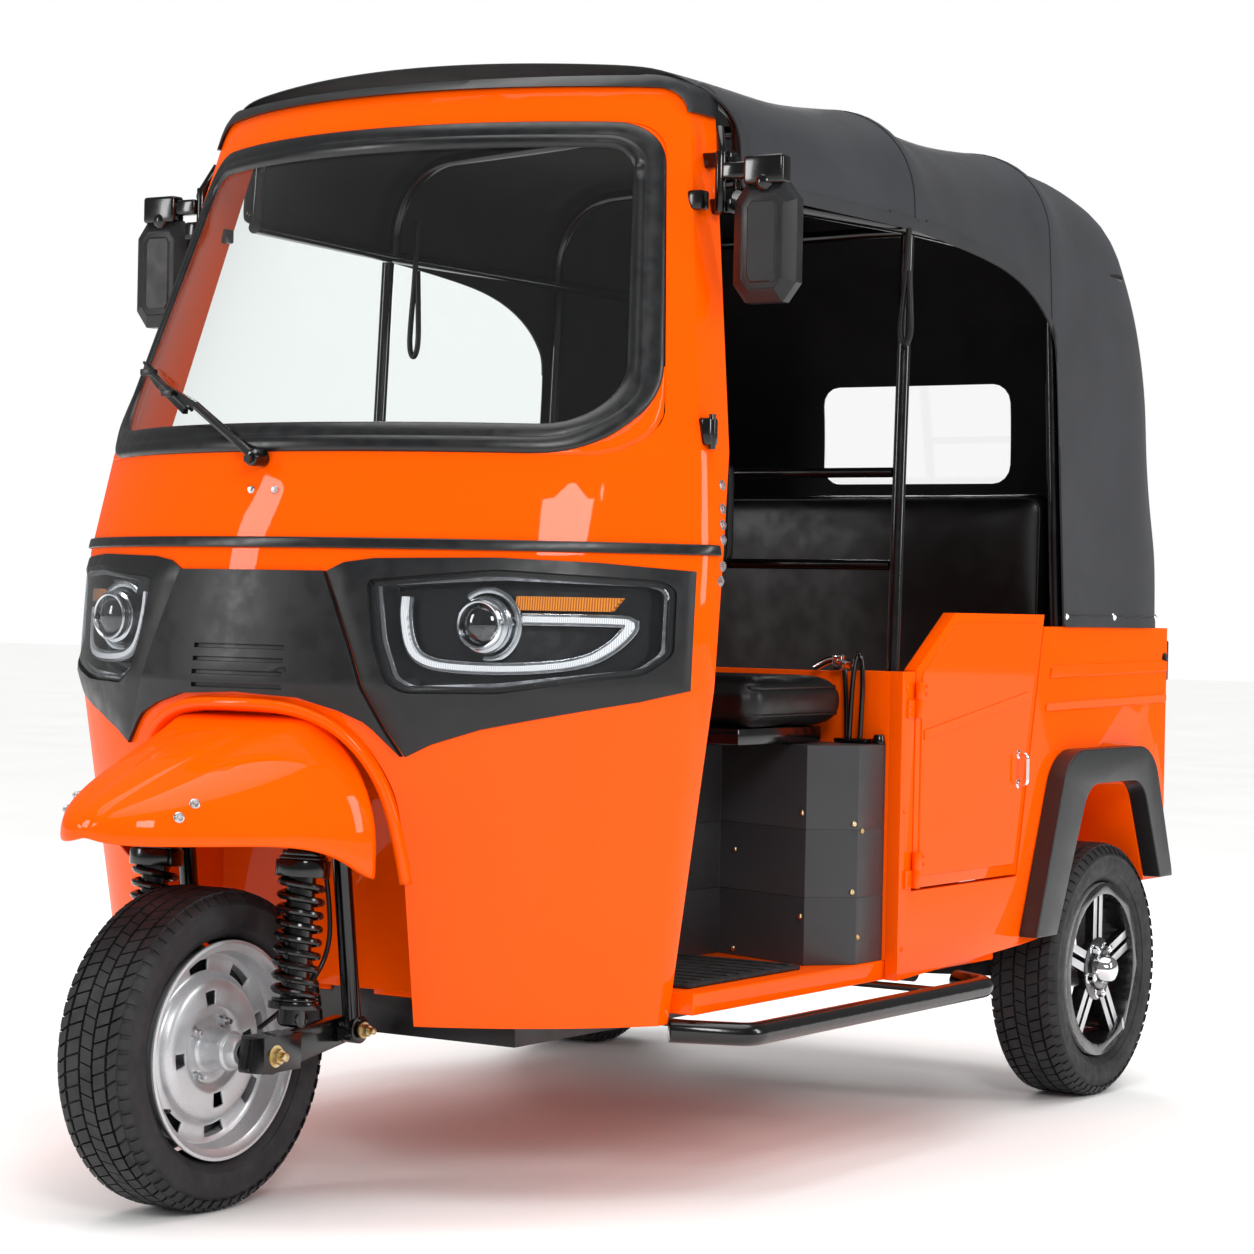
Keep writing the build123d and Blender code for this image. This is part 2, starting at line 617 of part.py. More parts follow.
# ================================================================ rear body
def side_outline():
    """Side panel from its front foot, with the doorway left out and the wheel arch not yet cut: y, z."""
    front, rear = ARCH[0], ARCH[-1]
    return [(FRONT_Y, FLOOR_Z[0]), (front[0] - 65.0, front[1] + 7.0), (front[0], front[1] + 12.0), rear,
            (REAR_Y, rear[1]), (REAR_Y, BELT_Z), (DOOR_REAR_TOP_Y, BELT_Z), (DOOR_REAR_LOW_Y, DOOR_LOW_Z),
            (DOOR_FRONT_Y - DOOR_GAP, DOOR_LOW_Z), (DOOR_FRONT_Y - DOOR_GAP, PILLAR_TOP), (FRONT_Y, PILLAR_TOP)]


def side_panel():
    """Outer side panel with the inner wheel house and the fixed hinge knuckles."""
    skin = side_prism(side_outline(), SIDE_X - SKIN, SIDE_X)
    skin -= side_prism(grown_arch(0.0, 100.0), SIDE_X - SKIN - 5.0, SIDE_X + 5.0, ARCH_FILLET)
    house = wheel_house()
    for z in HINGE_Z:
        skin += hinge_half(z, True)
    return skin + house


def grown_arch(grow, foot=None):
    """Wheel arch outline moved outwards, closed along its foot or drawn down to a lower foot."""
    cx, cz = WHEELBASE - 10.0, 400.0
    out = []
    for y, z in ARCH:
        reach = sqrt((y - cx) ** 2 + (z - cz) ** 2)
        share = (reach + grow) / reach
        out.append((cx + (y - cx) * share, cz + (z - cz) * share if z > 430.0 else z))
    if foot is not None:
        out = [(out[0][0], foot)] + out + [(out[-1][0], foot)]
    return out


def wheel_house():
    x0, x1 = HOUSE_X
    outer = side_prism(grown_arch(HOUSE_T), x0, x1 + 1.0, ARCH_FILLET)
    inner = side_prism(grown_arch(0.0, 100.0), x0 + HOUSE_T, SIDE_X + 5.0, ARCH_FILLET)
    hub_hole = block(x0 - 5.0, x0 + HOUSE_T + 5.0, 1900.0, 2100.0, 150.0, 420.0)
    return outer - inner - hub_hole


def door():
    g = DOOR_GAP
    lean = (DOOR_REAR_TOP_Y - DOOR_REAR_LOW_Y) / (BELT_Z - DOOR_LOW_Z)
    top_z = DOOR_CHAMFER[1]
    outline = [(DOOR_FRONT_Y, DOOR_LOW_Z + g), (DOOR_REAR_LOW_Y - g, DOOR_LOW_Z + g),
               (DOOR_REAR_LOW_Y - g + lean * (top_z - DOOR_LOW_Z), top_z), (DOOR_CHAMFER[0], top_z),
               (DOOR_FRONT_Y, DOOR_CHAMFER_Z)]
    panel = side_prism(outline, SIDE_X - SKIN, SIDE_X)
    for z in HINGE_Z:
        panel += hinge_half(z, False)
    return panel


def hinge_half(z, fixed):
    """One leaf and its knuckle: the fixed leaf carries the lower knuckle, the moving leaf the upper."""
    z0, z1 = (z - HINGE_H / 2, z - CLEAR / 2) if fixed else (z + CLEAR / 2, z + HINGE_H / 2)
    upright = Cylinder(HINGE_R, z1 - z0, align=(Align.CENTER, Align.CENTER, Align.MIN))
    knuckle = Pos(HINGE_X, HINGE_Y, z0) * upright
    y0, y1 = (HINGE_Y - 30.0, HINGE_Y) if fixed else (HINGE_Y + HINGE_R, HINGE_Y + 32.0)
    leaf = block(SIDE_X - 1.0, SIDE_X + 4.0, y0, y1, z0, z1)
    if not fixed:
        leaf += block(HINGE_X - 2.0, HINGE_X + 4.0, HINGE_Y, HINGE_Y + 12.0, z0, z1)
        leaf += block(SIDE_X + 1.0, HINGE_X + 4.0, HINGE_Y + 8.0, HINGE_Y + 14.0, z0, z1)
    return knuckle + leaf


def door_handle():
    y, z0, z1 = 1632.0, 630.0, 690.0
    post = block(SIDE_X + CLEAR, SIDE_X + 14.0, y - 5.0, y + 5.0, z0, z0 + 10.0)
    post += block(SIDE_X + CLEAR, SIDE_X + 14.0, y - 5.0, y + 5.0, z1 - 10.0, z1)
    return post + block(SIDE_X + 10.0, SIDE_X + 18.0, y - 5.0, y + 5.0, z0, z1)


def rear_panel():
    half = SIDE_X - SKIN - CLEAR
    skin = block(-half, half, REAR_Y - SKIN, REAR_Y, ARCH[-1][1], BELT_Z)
    skin -= block(-LID_HALF, LID_HALF, REAR_Y - 60.0, REAR_Y + 10.0, *LID_Z)
    return skin


LID_HINGE = (REAR_Y + 9.0, LID_Z[1] + 3.0)      # y, z of the lid's hinge line


def rear_lid():
    g = DOOR_GAP
    skin = block(-LID_HALF + g, LID_HALF - g, REAR_Y - SKIN, REAR_Y, LID_Z[0] + g, LID_Z[1] - g)
    knuckle = rod(-LID_HALF * 0.7, -LID_HALF * 0.5, LID_HINGE[0], LID_HINGE[1], 7.0)
    leaf = block(-LID_HALF * 0.7, -LID_HALF * 0.5, REAR_Y - 1.0, LID_HINGE[0] + 2.0, LID_HINGE[1] - 20.0,
                 LID_HINGE[1] - 3.0)
    return skin + both(knuckle + leaf)


def wheel_flare():
    feet = [(FLARE[0][0], 100.0)] + FLARE + [(FLARE[-1][0], 100.0)]
    outer = side_prism(feet, *FLARE_X, FLARE_FILLET)
    inner = side_prism(grown_arch(2.0, 100.0), FLARE_X[0] - 1.0, FLARE_X[1] + 1.0, ARCH_FILLET)
    front_foot = block(600.0, 700.0, 1500.0, WHEELBASE, 0.0, FLARE_FOOT)
    rear_foot = block(600.0, 700.0, WHEELBASE, 2500.0, 0.0, FLARE[-1][1])
    return outer - inner - front_foot - rear_foot


def bulkhead():
    """Partition behind the driver with its two pillar boxes."""
    half = SIDE_X - SKIN - CLEAR
    plate = block(-half, half, FRONT_Y, FRONT_Y + BULKHEAD_T, FLOOR_Z[1] + CLEAR, PILLAR_TOP - 2.0)
    box = block(PILLAR_BOX[0], half, FRONT_Y, PILLAR_BOX[1], FLOOR_Z[1] + CLEAR, PILLAR_TOP)
    return plate + both(box)


def seat_box():
    half = SIDE_X - SKIN - CLEAR
    front = BENCH_Y[0] + 12.0
    face = block(-half, half, front, front + 15.0, FLOOR_Z[1] + CLEAR, BENCH_Z[0] - CLEAR)
    x_in = HOUSE_X[0] - CLEAR
    top = block(-x_in, x_in, front, BENCH_Y[1] + BENCH_BACK_T, BENCH_Z[0] - 15.0, BENCH_Z[0] - CLEAR)
    return face + top


def passenger_cushion():
    x = BENCH_HALF
    cushion = block(-x, x, BENCH_Y[0], BENCH_Y[1] - CLEAR, BENCH_Z[0], BENCH_Z[1])
    house = wheel_house_fill()
    return cushion - house


def wheel_house_fill():
    form = side_prism(grown_arch(HOUSE_T + 2.0), HOUSE_X[0] - 2.0, 700.0)
    return both(form)


def passenger_backrest():
    x = BENCH_HALF
    return block(-x, x, BENCH_Y[1], BENCH_Y[1] + BENCH_BACK_T, *BENCH_BACK_Z)


def driver_base():
    """Seat box: a centre block and a wing with a cut corner on each side."""
    z0, z1 = FLOOR_Z[1] + CLEAR, BASE_TOP
    y1 = FRONT_Y - CLEAR
    centre = block(-BASE_HALF, BASE_HALF, 800.0, y1, z0, z1)
    wing = plan_prism([(BASE_HALF - 5.0, 1067.0), (533.0, 985.0), (594.0, 1062.0), (594.0, y1),
                       (BASE_HALF - 5.0, y1)], z0, z1)
    return centre + both(wing)


def driver_cushion():
    x = CUSHION_X
    pad = block(-x, x, *CUSHION_Y, *CUSHION_Z)
    frame = block(-x * 0.9, x * 0.9, CUSHION_Y[0] + 40.0, CUSHION_Y[1] - 30.0, BASE_TOP + CLEAR, CUSHION_Z[0])
    return pad + frame


def driver_backrest():
    half, y, z0, z1 = BACKREST
    pad = block(-half, half, y, y + BACKREST_T, z0, z1)
    return pad


def partition_rails():
    """Two cross tubes between the B-posts and the stays of the driver's backrest."""
    rails = []
    for z in PARTITION_Z:
        foot, top = SIDE_X - SKIN - BOW_R, frame_x(BOW_Y[1], RAIL_ROOF_Z)
        x = foot + (top - foot) * (z - PILLAR_TOP) / (RAIL_ROOF_Z - PILLAR_TOP) - BOW_R - CLEAR
        rails.append(rod(-x, x, post_y(z), z, PARTITION_R))
    solid = rails[0] + rails[1]
    back = BACKREST[1] + BACKREST_T + CLEAR
    for x in (-STAY_X, STAY_X):
        for z in PARTITION_Z:
            z = min(z, BACKREST[3] - 12.0)
            solid += block(x - 10.0, x + 10.0, back, post_y(z), z - 4.0, z + 4.0)
    return solid


# ================================================================ roof
def roof_form(inset, low=900.0):
    """Outer form of the canvas roof, all faces moved in by inset."""
    faces = []
    for y, belt, shoulder, z_shoulder, crown, corner in ROOF_SECTIONS:
        w0, w1 = belt - inset, shoulder - inset
        z1, zc, r = z_shoulder - inset, crown - inset, corner - inset / 2
        slope = (w0 - w1) / (z_shoulder - low)
        bend_z = z1 - r
        x_side = w1 + slope * r
        x_top = w1 - r
        z_top = z1 + (zc - z1) * (1 - (x_top / w1) ** 2)
        mid = (w1 - r * 0.24, y, z1 - r * 0.24 + (z_top - z1) * 0.6)
        right = ThreePointArc((x_side, y, bend_z), mid, (x_top, y, z_top))
        roof = ThreePointArc((x_top, y, z_top), (0, y, zc), (-x_top, y, z_top))
        left = ThreePointArc((-x_top, y, z_top), (-mid[0], y, mid[2]), (-x_side, y, bend_z))
        foot = Polyline((-x_side, y, bend_z), (-w0, y, low), (w0, y, low), (x_side, y, bend_z))
        faces.append(make_face(right + roof + left + foot))
    body = loft(faces, ruled=True)
    side = [(y - inset if y > 1000.0 else y, z - inset if z > 1000.0 else z) for y, z in ROOF_SIDE]
    return body & side_prism(side, -800.0, 800.0)


def front_cutter():
    """What lies ahead of the cowl's skin at roof height."""
    return block(-800.0, 800.0, 0.0, 668.0, 1500.0, COWL_TOP + 119.0) - cowl_form(2.0)


def canopy():
    shell = roof_form(0.0) - roof_form(CANVAS, 890.0)
    side = HEM + [(PANEL_EDGE_Y, 1480.0), (PANEL_EDGE_Y, 850.0), (300.0, 850.0)]
    shell -= side_prism(side, -800.0, 800.0)
    half, low, high = REAR_WINDOW
    shell -= front_prism([(-half, low), (half, low), (half, high), (-half, high)], 2200.0, 2500.0, 40.0)
    shell -= block(-800.0, 800.0, 0.0, 2600.0, 800.0, BELT_Z + CLEAR)
    ahead = [(300.0, 1550.0), (300.0, COWL_TOP), (PILLAR_REACH - 40.0, COWL_TOP), (PILLAR_REACH, COWL_TOP - 26.0),
             (PILLAR_REACH, 1550.0)]
    return shell - side_prism(ahead, -800.0, 800.0) - front_cutter()


def rear_window():
    half, low, high = REAR_WINDOW
    outline = [(-half + 1, low + 1), (half - 1, low + 1), (half - 1, high - 1), (-half + 1, high - 1)]
    shell = roof_form(1.0) - roof_form(CANVAS - 1.0, 890.0)
    return shell & front_prism(outline, 2200.0, 2500.0, 39.0)


def header_prism(grow=0.0):
    """Outline of the cowl's top with its rounded corners, seen from the front."""
    low = HEADER_LOW
    corners = [(-low[0] - grow, low[1]), (low[0] + grow, low[1]), (HEADER_HALF + grow, COWL_TOP + grow),
               (-HEADER_HALF - grow, COWL_TOP + grow)]
    return front_prism(corners, -200.0, 1000.0, HEADER_R) + block(-800.0, 800.0, -200.0, 1000.0, 285.0, 1620.0)


def roof_visor():
    """Black bead that closes the space between the header and the canvas."""
    body = cowl_skin(VISOR_PROUD, -VISOR_DEEP) & block(-800.0, 800.0, 0.0, 690.0, VISOR_LOW, COWL_TOP + 94.0)
    return (body & roof_form(CANVAS + CLEAR)) - header_prism(CLEAR)


def roof_row(y):
    """Canopy section values at y, straight between the table's rows."""
    rows = ROOF_SECTIONS
    for low, high in zip(rows, rows[1:]):
        if y <= high[0]:
            break
    share = (y - low[0]) / (high[0] - low[0])
    return [a + (b - a) * share for a, b in zip(low, high)]


def roof_top(y):
    """Height of the canopy's side outline at y."""
    rows = ROOF_SIDE[::-1]
    for front, rear in zip(rows, rows[1:]):
        if y <= rear[0]:
            break
    return front[1] + (rear[1] - front[1]) * (y - front[0]) / (rear[0] - front[0])


def frame_x(y, z):
    """x of a roof tube that runs just inside the canvas side."""
    _, belt, shoulder, z_shoulder, _, _ = roof_row(y)
    side = belt + (shoulder - belt) * (z - BELT_Z) / (z_shoulder - BELT_Z)
    return side - CANVAS - BOW_R - FRAME_IN


def post_y(z):
    """y of the B-post at a height."""
    foot, top = (PARTITION_Y, PILLAR_TOP), (BOW_Y[1], RAIL_ROOF_Z)
    return foot[0] + (top[0] - foot[0]) * (z - foot[1]) / (top[1] - foot[1])


def roof_bows():
    """Arched hoops between the two side rails."""
    solids = []
    for y in BOW_Y:
        _, _, shoulder, z_shoulder, crown, corner = roof_row(y)
        low = RAIL_ROOF_Z + BOW_R + CLEAR
        under = CANVAS + BOW_R + FRAME_IN
        top = min(crown, roof_top(y)) - under - 4.0
        z = min(z_shoulder - under, top - 8.0)
        x0, x1 = frame_x(y, low), frame_x(y, z_shoulder)
        radius = min(corner, z - low) - 15.0
        path = [(-x0, y, low), (-x1, y, z), (0.0, y, top), (x1, y, z), (x0, y, low)]
        solids.append(tube(path, BOW_R, [radius, 1500.0, radius]))
    return Compound(solids)


def roof_side_rail():
    z = RAIL_ROOF_Z
    start, middle, end = BOW_Y[0] - 8.0, BOW_Y[1], BOW_Y[-1] + 8.0
    return tube([(frame_x(start, z), start, z), (frame_x(middle, z), middle, z), (frame_x(end, z), end, z)],
                BOW_R, 300.0)


def posts():
    """Upright tubes from the body to the roof rails."""
    z_top = RAIL_ROOF_Z - BOW_R - CLEAR - 1.0
    front = tube([(SIDE_X - SKIN - BOW_R, post_y(PILLAR_TOP - 20.0), PILLAR_TOP - 20.0),
                  (frame_x(BOW_Y[1], z_top), post_y(z_top), z_top)], BOW_R)
    front -= block(0.0, 800.0, 1000.0, 1400.0, 500.0, PILLAR_TOP + CLEAR)
    foot_x = SIDE_X - BOW_R - CANVAS - 1.0
    rear = tube([(foot_x, REAR_POST_Y, BELT_Z - 20.0), (frame_x(REAR_POST_Y, z_top), REAR_POST_Y, z_top)], BOW_R)
    rear -= block(0.0, 800.0, 1700.0, 2000.0, 500.0, BELT_Z + CLEAR)
    return front + rear


# ================================================================ fittings
def off_skin(x, z, out):
    """Point that stands off the cowl's skin."""
    return (x, skin_y(x, z, out), z)


def wiper():
    """Pivot boss, bent arm and the blade that follows the glass."""
    boss = Pos(*off_skin(0.0, WIPER_PIVOT_Z, 16.0)) * Rot(90, 0, 0) * Cylinder(13.0, 26.0)
    blade = [off_skin(x, z, 18.0) for x, z in WIPER_BLADE]
    arm = [off_skin(0.0, WIPER_PIVOT_Z, 22.0), off_skin(*WIPER_ELBOW, 32.0), blade[1]]
    solid = boss
    for line, wide, thick in ((arm, 12.0, 8.0), (blade, 13.0, 9.0)):
        for start, end in zip(line, line[1:]):
            solid += bar(start, end, wide, thick)
    return solid


def mirror_set():
    head = front_prism([(600.0, 1480.0), (622.0, 1451.0), (692.0, 1451.0), (714.0, 1480.0), (714.0, 1618.0),
                        (692.0, 1647.0), (622.0, 1647.0), (600.0, 1618.0)], 600.0, 642.0, 8.0)
    arm = block(592.0, 678.0, 602.0, 640.0, 1640.0, 1690.0)
    stay = block(520.0, 600.0, 612.0, 636.0, 1655.0, 1685.0)
    return head + arm + (stay - cowl_form(CLEAR))


def dashboard():
    shelf = block(-600.0, 600.0, 100.0, 400.0, 1165.0, 1188.0) & cowl_form(-WALL - CLEAR)
    return shelf


def rear_bumper():
    """Round bar with its ends bent forward to the body; the straight stretch is a true cylinder."""
    y, z = TAIL_Y - BUMPER_R - 2.0, BUMPER_Z
    end = tube([(BUMPER_HALF, REAR_Y - 5.0, z), (BUMPER_HALF, y, z), (BUMPER_STRAIGHT, y, z)], BUMPER_R, 35.0)
    pipe = both(end) + rod(-BUMPER_STRAIGHT, BUMPER_STRAIGHT, y, z, BUMPER_R)
    return pipe - block(-700.0, 700.0, 2000.0, REAR_Y + CLEAR, 400.0, 600.0)


def tail_lamp():
    return block(560.0, 622.0, REAR_Y + CLEAR, REAR_Y + 30.0, 820.0, 905.0)


def brake_lever():
    return tube([(585.0, 1136.0, BASE_TOP + CLEAR), (585.0, 1136.0, 800.0), (585.0, 1146.0, 905.0)], 6.0, 20.0)


# ================================================================ assembly
def build_all():
    parts = {}
    parts["floor_pan"] = floor_pan()
    parts["underframe"] = underframe()
    parts["front_cowl"] = front_cowl()
    parts["front_fender"] = front_fender()
    parts["wheel_housing"] = wheel_housing()
    parts["centre_fascia"] = centre_fascia()
    parts["lamp_surrounds"] = both(lamp_surround())
    parts["headlamps"] = both(headlamp())
    parts["windscreen"] = windscreen()
    parts["windscreen_seal"] = windscreen_seal()
    parts["front_trim_strip"] = front_trim_strip()
    parts["wiper"] = wiper()
    parts["mirrors"] = both(mirror_set())
    parts["dashboard"] = dashboard()
    parts["driver_seat_base"] = driver_base()
    parts["driver_cushion"] = driver_cushion()
    parts["driver_backrest"] = driver_backrest()
    parts["bulkhead"] = bulkhead()
    parts["partition_rails"] = partition_rails()
    parts["pillar_posts"] = both(posts())
    parts["roof_bows"] = roof_bows()
    parts["roof_side_rails"] = both(roof_side_rail())
    parts["canopy"] = canopy()
    parts["rear_window"] = rear_window()
    parts["roof_visor"] = roof_visor()
    parts["passenger_seat_box"] = seat_box()
    parts["passenger_cushion"] = passenger_cushion()
    parts["passenger_backrest"] = passenger_backrest()
    parts["rear_panel"] = rear_panel()
    parts["rear_lid"] = rear_lid()
    parts["wheel_flares"] = both(wheel_flare())
    parts["side_steps"] = both(side_step())
    parts["rear_bumper"] = rear_bumper()
    parts["tail_lamps"] = both(tail_lamp())
    parts["engine_block"] = engine_block()
    parts["rear_arms"] = both(rear_arm())
    parts["brake_lever"] = brake_lever()
    parts["fork"] = fork()
    parts["handlebar"] = handlebar()
    parts["front_links"] = front_links()
    parts["front_shocks"] = both(front_shock())
    parts["front_tyre"] = Pos(0, 0, TYRE_R) * tyre()
    parts["front_rim"] = Pos(0, 0, TYRE_R) * front_rim()
    for side, shape in twins(side_panel()).items():
        parts["side_panel_" + side] = shape
    for side, shape in twins(door()).items():
        parts["door_" + side] = shape
    for side, shape in twins(door_handle()).items():
        parts["door_handle_" + side] = shape
    hub = Pos(TRACK / 2, WHEELBASE, TYRE_R)
    for side, shape in twins(hub * tyre()).items():
        parts["rear_tyre_" + side] = shape
    for side, shape in twins(hub * rear_rim()).items():
        parts["rear_rim_" + side] = shape
    return parts


os.makedirs("parts", exist_ok=True)
for node, shape in build_all().items():
    export_step(Pos(0, Y_SHIFT, 0) * shape, f"parts/{node}.step")
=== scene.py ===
"""Looks of a three-wheeled auto rickshaw, laid out as a Blender add-on and run as a script.

Metres, +Z up, the front faces -Y and the vehicle's own left side is +X. Heights are above the ground and
lengths along the vehicle are measured from the front axle, which axle() turns into the frame's y.
"""
import math

import bmesh
import bpy
from mathutils import Matrix, Vector
from mathutils.bvhtree import BVHTree


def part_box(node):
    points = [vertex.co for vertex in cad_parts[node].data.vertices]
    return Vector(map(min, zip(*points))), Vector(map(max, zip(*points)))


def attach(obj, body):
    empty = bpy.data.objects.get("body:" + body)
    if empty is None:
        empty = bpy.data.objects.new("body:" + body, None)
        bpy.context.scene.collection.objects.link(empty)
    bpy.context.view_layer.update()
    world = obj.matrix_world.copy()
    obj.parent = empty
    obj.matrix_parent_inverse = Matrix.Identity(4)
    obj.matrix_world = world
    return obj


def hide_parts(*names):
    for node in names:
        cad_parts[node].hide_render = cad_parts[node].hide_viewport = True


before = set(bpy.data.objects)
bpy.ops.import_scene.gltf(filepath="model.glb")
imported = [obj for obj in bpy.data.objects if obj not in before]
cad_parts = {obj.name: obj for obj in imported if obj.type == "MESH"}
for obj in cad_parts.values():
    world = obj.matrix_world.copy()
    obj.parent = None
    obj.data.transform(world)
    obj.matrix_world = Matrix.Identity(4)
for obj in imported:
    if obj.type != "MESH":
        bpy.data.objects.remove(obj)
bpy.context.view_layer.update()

bl_info = {
    "name": "Auto rickshaw",
    "version": (1, 0, 0),
    "blender": (4, 5, 0),
    "location": "View3D > Sidebar > Rickshaw",
    "description": "Builds the visible pieces and finishes of an auto rickshaw round its solid frame",
    "category": "Add Mesh",
}

MM = 0.001
PAINT = "#FF5600"
CANVAS = "#2E2F33"
MOULDING = "#18191B"
AXLE_LOW, AXLE_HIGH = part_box("front_tyre")
AXLE_Y = (AXLE_LOW.y + AXLE_HIGH.y) / 2
TYRE_R = (AXLE_HIGH.z - AXLE_LOW.z) / 2
REAR_LOW, REAR_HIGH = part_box("rear_tyre_left")
TRACK = REAR_LOW.x + REAR_HIGH.x
REAR_AXLE_Y = (REAR_LOW.y + REAR_HIGH.y) / 2
LEFT, RIGHT = 1, -1
SIDES = {"left": LEFT, "right": RIGHT}


def axle(x, y, z):
    """Point in the frame from millimetres measured from the ground point under the front axle."""
    return Vector((x * MM, y * MM + AXLE_Y, z * MM))


# ------------------------------------------------------------------ colours and materials
def linear(hex_colour):
    """sRGB hex to linear RGBA."""
    parts = [int(hex_colour[i:i + 2], 16) / 255 for i in (1, 3, 5)]
    return tuple(c / 12.92 if c <= 0.04045 else ((c + 0.055) / 1.055) ** 2.4 for c in parts) + (1.0,)


def add_node(tree, kind, inputs=None, links=None, **settings):
    """Adds one node, sets its properties and inputs, and links its inputs from (node, output) pairs."""
    node = tree.nodes.new("ShaderNode" + kind)
    for name, value in settings.items():
        setattr(node, name, value)
    for name, value in (inputs or {}).items():
        node.inputs[name].default_value = value
    for name, (source, output) in (links or {}).items():
        tree.links.new(source.outputs[output], node.inputs[name])
    return node


def surface(name, colour, roughness, metallic=0.0, **sockets):
    """New material with a Principled shader; returns the material, its tree and the shader."""
    made = bpy.data.materials.new(name)
    made.use_nodes = True
    tree = made.node_tree
    shader = tree.nodes["Principled BSDF"]
    shader.inputs["Base Color"].default_value = colour
    shader.inputs["Roughness"].default_value = roughness
    shader.inputs["Metallic"].default_value = metallic
    for socket, value in sockets.items():
        shader.inputs[socket.replace("_", " ").title().replace("Ior", "IOR")].default_value = value
    return made, tree, shader


def pattern(tree, kind, size_mm, inputs=None, **settings):
    """Texture in object coordinates whose blotches, cells or bands are about size_mm across."""
    coords = add_node(tree, "TexCoord")
    return add_node(tree, kind, {"Scale": 1000 / size_mm, **(inputs or {})}, {"Vector": (coords, "Object")},
                    **settings)


def grey(value):
    """Colour without hue."""
    return (value, value, value, 1.0)


def graded(tree, shader, socket, source, low, high):
    """Grades a pattern between two (position, colour) stops into one of the shader's sockets."""
    node = add_node(tree, "ValToRGB", links={"Fac": (source, "Fac")})
    for element, (place, colour) in zip(node.color_ramp.elements, (low, high)):
        element.position = place
        element.color = colour
    tree.links.new(node.outputs["Color"], shader.inputs[socket])


def vary_colour(tree, shader, size_mm, low, high, detail=3.0):
    """Base colour that drifts between two tones."""
    blotch = pattern(tree, "TexNoise", size_mm, {"Detail": detail})
    graded(tree, shader, "Base Color", blotch, (0.35, low), (0.65, high))


def vary_roughness(tree, shader, size_mm, low, high):
    """Roughness that drifts between two values."""
    blotch = pattern(tree, "TexNoise", size_mm, {"Detail": 3.0})
    graded(tree, shader, "Roughness", blotch, (0.35, grey(low)), (0.65, grey(high)))


def relief(tree, shader, source, output, depth_mm, strength=1.0, socket="Normal"):
    """Relief of a given depth in the shader's normal, on top of one that is there."""
    node = add_node(tree, "Bump", {"Strength": strength, "Distance": depth_mm * MM}, {"Height": (source, output)})
    held = shader.inputs[socket].links
    if held:
        tree.links.new(held[0].from_socket, node.inputs["Normal"])
    tree.links.new(node.outputs["Normal"], shader.inputs[socket])


class Finishes:
    """Every material of the vehicle, made once and kept by name."""
    made = {}

    @classmethod
    def get(cls, name):
        if name not in cls.made:
            cls.made[name] = MAKERS[name]()
        return cls.made[name]


def tones(colour, spread):
    """Two near tones of a colour that the panel sets."""
    return [tuple(min(1.0, c * (1 + k * spread)) for c in colour) + (1.0,) for k in (-1, 1)]


def orange_enamel():
    """Stoved gloss enamel on pressed steel: deep orange, wet-looking, with a faint orange peel."""
    paint = bpy.context.scene.rickshaw_colours.paint
    made, tree, shader = surface("orange_enamel", (*paint, 1.0), 0.32, coat_weight=0.34, coat_roughness=0.03,
                                 specular_ior_level=0.0)
    vary_colour(tree, shader, 900, *tones(paint, 0.04))
    relief(tree, shader, pattern(tree, "TexNoise", 7), "Fac", 0.02, 0.35, "Coat Normal")
    return made


def moulded_black():
    """Textured black polypropylene: charcoal, satin, with a fine moulded leather grain."""
    moulding = bpy.context.scene.rickshaw_colours.moulding
    made, tree, shader = surface("moulded_polypropylene", (*moulding, 1.0), 0.4, specular_ior_level=0.4)
    relief(tree, shader, pattern(tree, "TexVoronoi", 2.6), "Distance", 0.12, 0.35)
    vary_roughness(tree, shader, 35, 0.33, 0.45)
    vary_colour(tree, shader, 120, *tones(moulding, 0.15))
    return made


def charcoal_abs():
    """Vacuum-formed ABS of the seat box: charcoal, satin, with a fine leather grain."""
    made, tree, shader = surface("vacuum_formed_abs", linear("#37383A"), 0.45, specular_ior_level=0.35)
    relief(tree, shader, pattern(tree, "TexVoronoi", 2.6), "Distance", 0.12, 0.35)
    vary_roughness(tree, shader, 50, 0.4, 0.52)
    return made


def satin_black():
    """Injection-moulded satin ABS of the wheel flares: dark grey with a soft broad sheen."""
    made, tree, shader = surface("satin_abs", linear("#1D1E20"), 0.34, specular_ior_level=0.5)
    vary_roughness(tree, shader, 60, 0.3, 0.38)
    relief(tree, shader, pattern(tree, "TexNoise", 1.6, {"Detail": 1.0}), "Fac", 0.03, 0.3)
    return made


def gloss_black():
    """Gloss black powder coat on steel tube: near black, with sharp highlights and a slight ripple."""
    made, tree, shader = surface("powder_coated_steel", linear("#070708"), 0.16, specular_ior_level=0.45,
                                 coat_weight=0.25, coat_roughness=0.06)
    relief(tree, shader, pattern(tree, "TexNoise", 9), "Fac", 0.04, 0.3)
    vary_roughness(tree, shader, 40, 0.13, 0.22)
    return made


def seal_rubber():
    """Extruded EPDM rubber: dark grey, dull, slightly chalky."""
    made, tree, shader = surface("epdm_rubber", linear("#131416"), 0.34, specular_ior_level=0.5)
    vary_roughness(tree, shader, 25, 0.28, 0.4)
    relief(tree, shader, pattern(tree, "TexNoise", 2.0), "Fac", 0.04, 0.3)
    return made


def tyre_rubber():
    """Vulcanised tyre rubber: carbon black and matt, with a slightly uneven tone and roughness and a fine grain."""
    made, tree, shader = surface("vulcanised_rubber", linear("#1D1D1F"), 0.6, specular_ior_level=0.4)
    vary_colour(tree, shader, 60, linear("#17171A"), linear("#262628"), 4.0)
    vary_roughness(tree, shader, 18, 0.52, 0.68)
    relief(tree, shader, pattern(tree, "TexNoise", 1.5), "Fac", 0.08, 0.4)
    return made


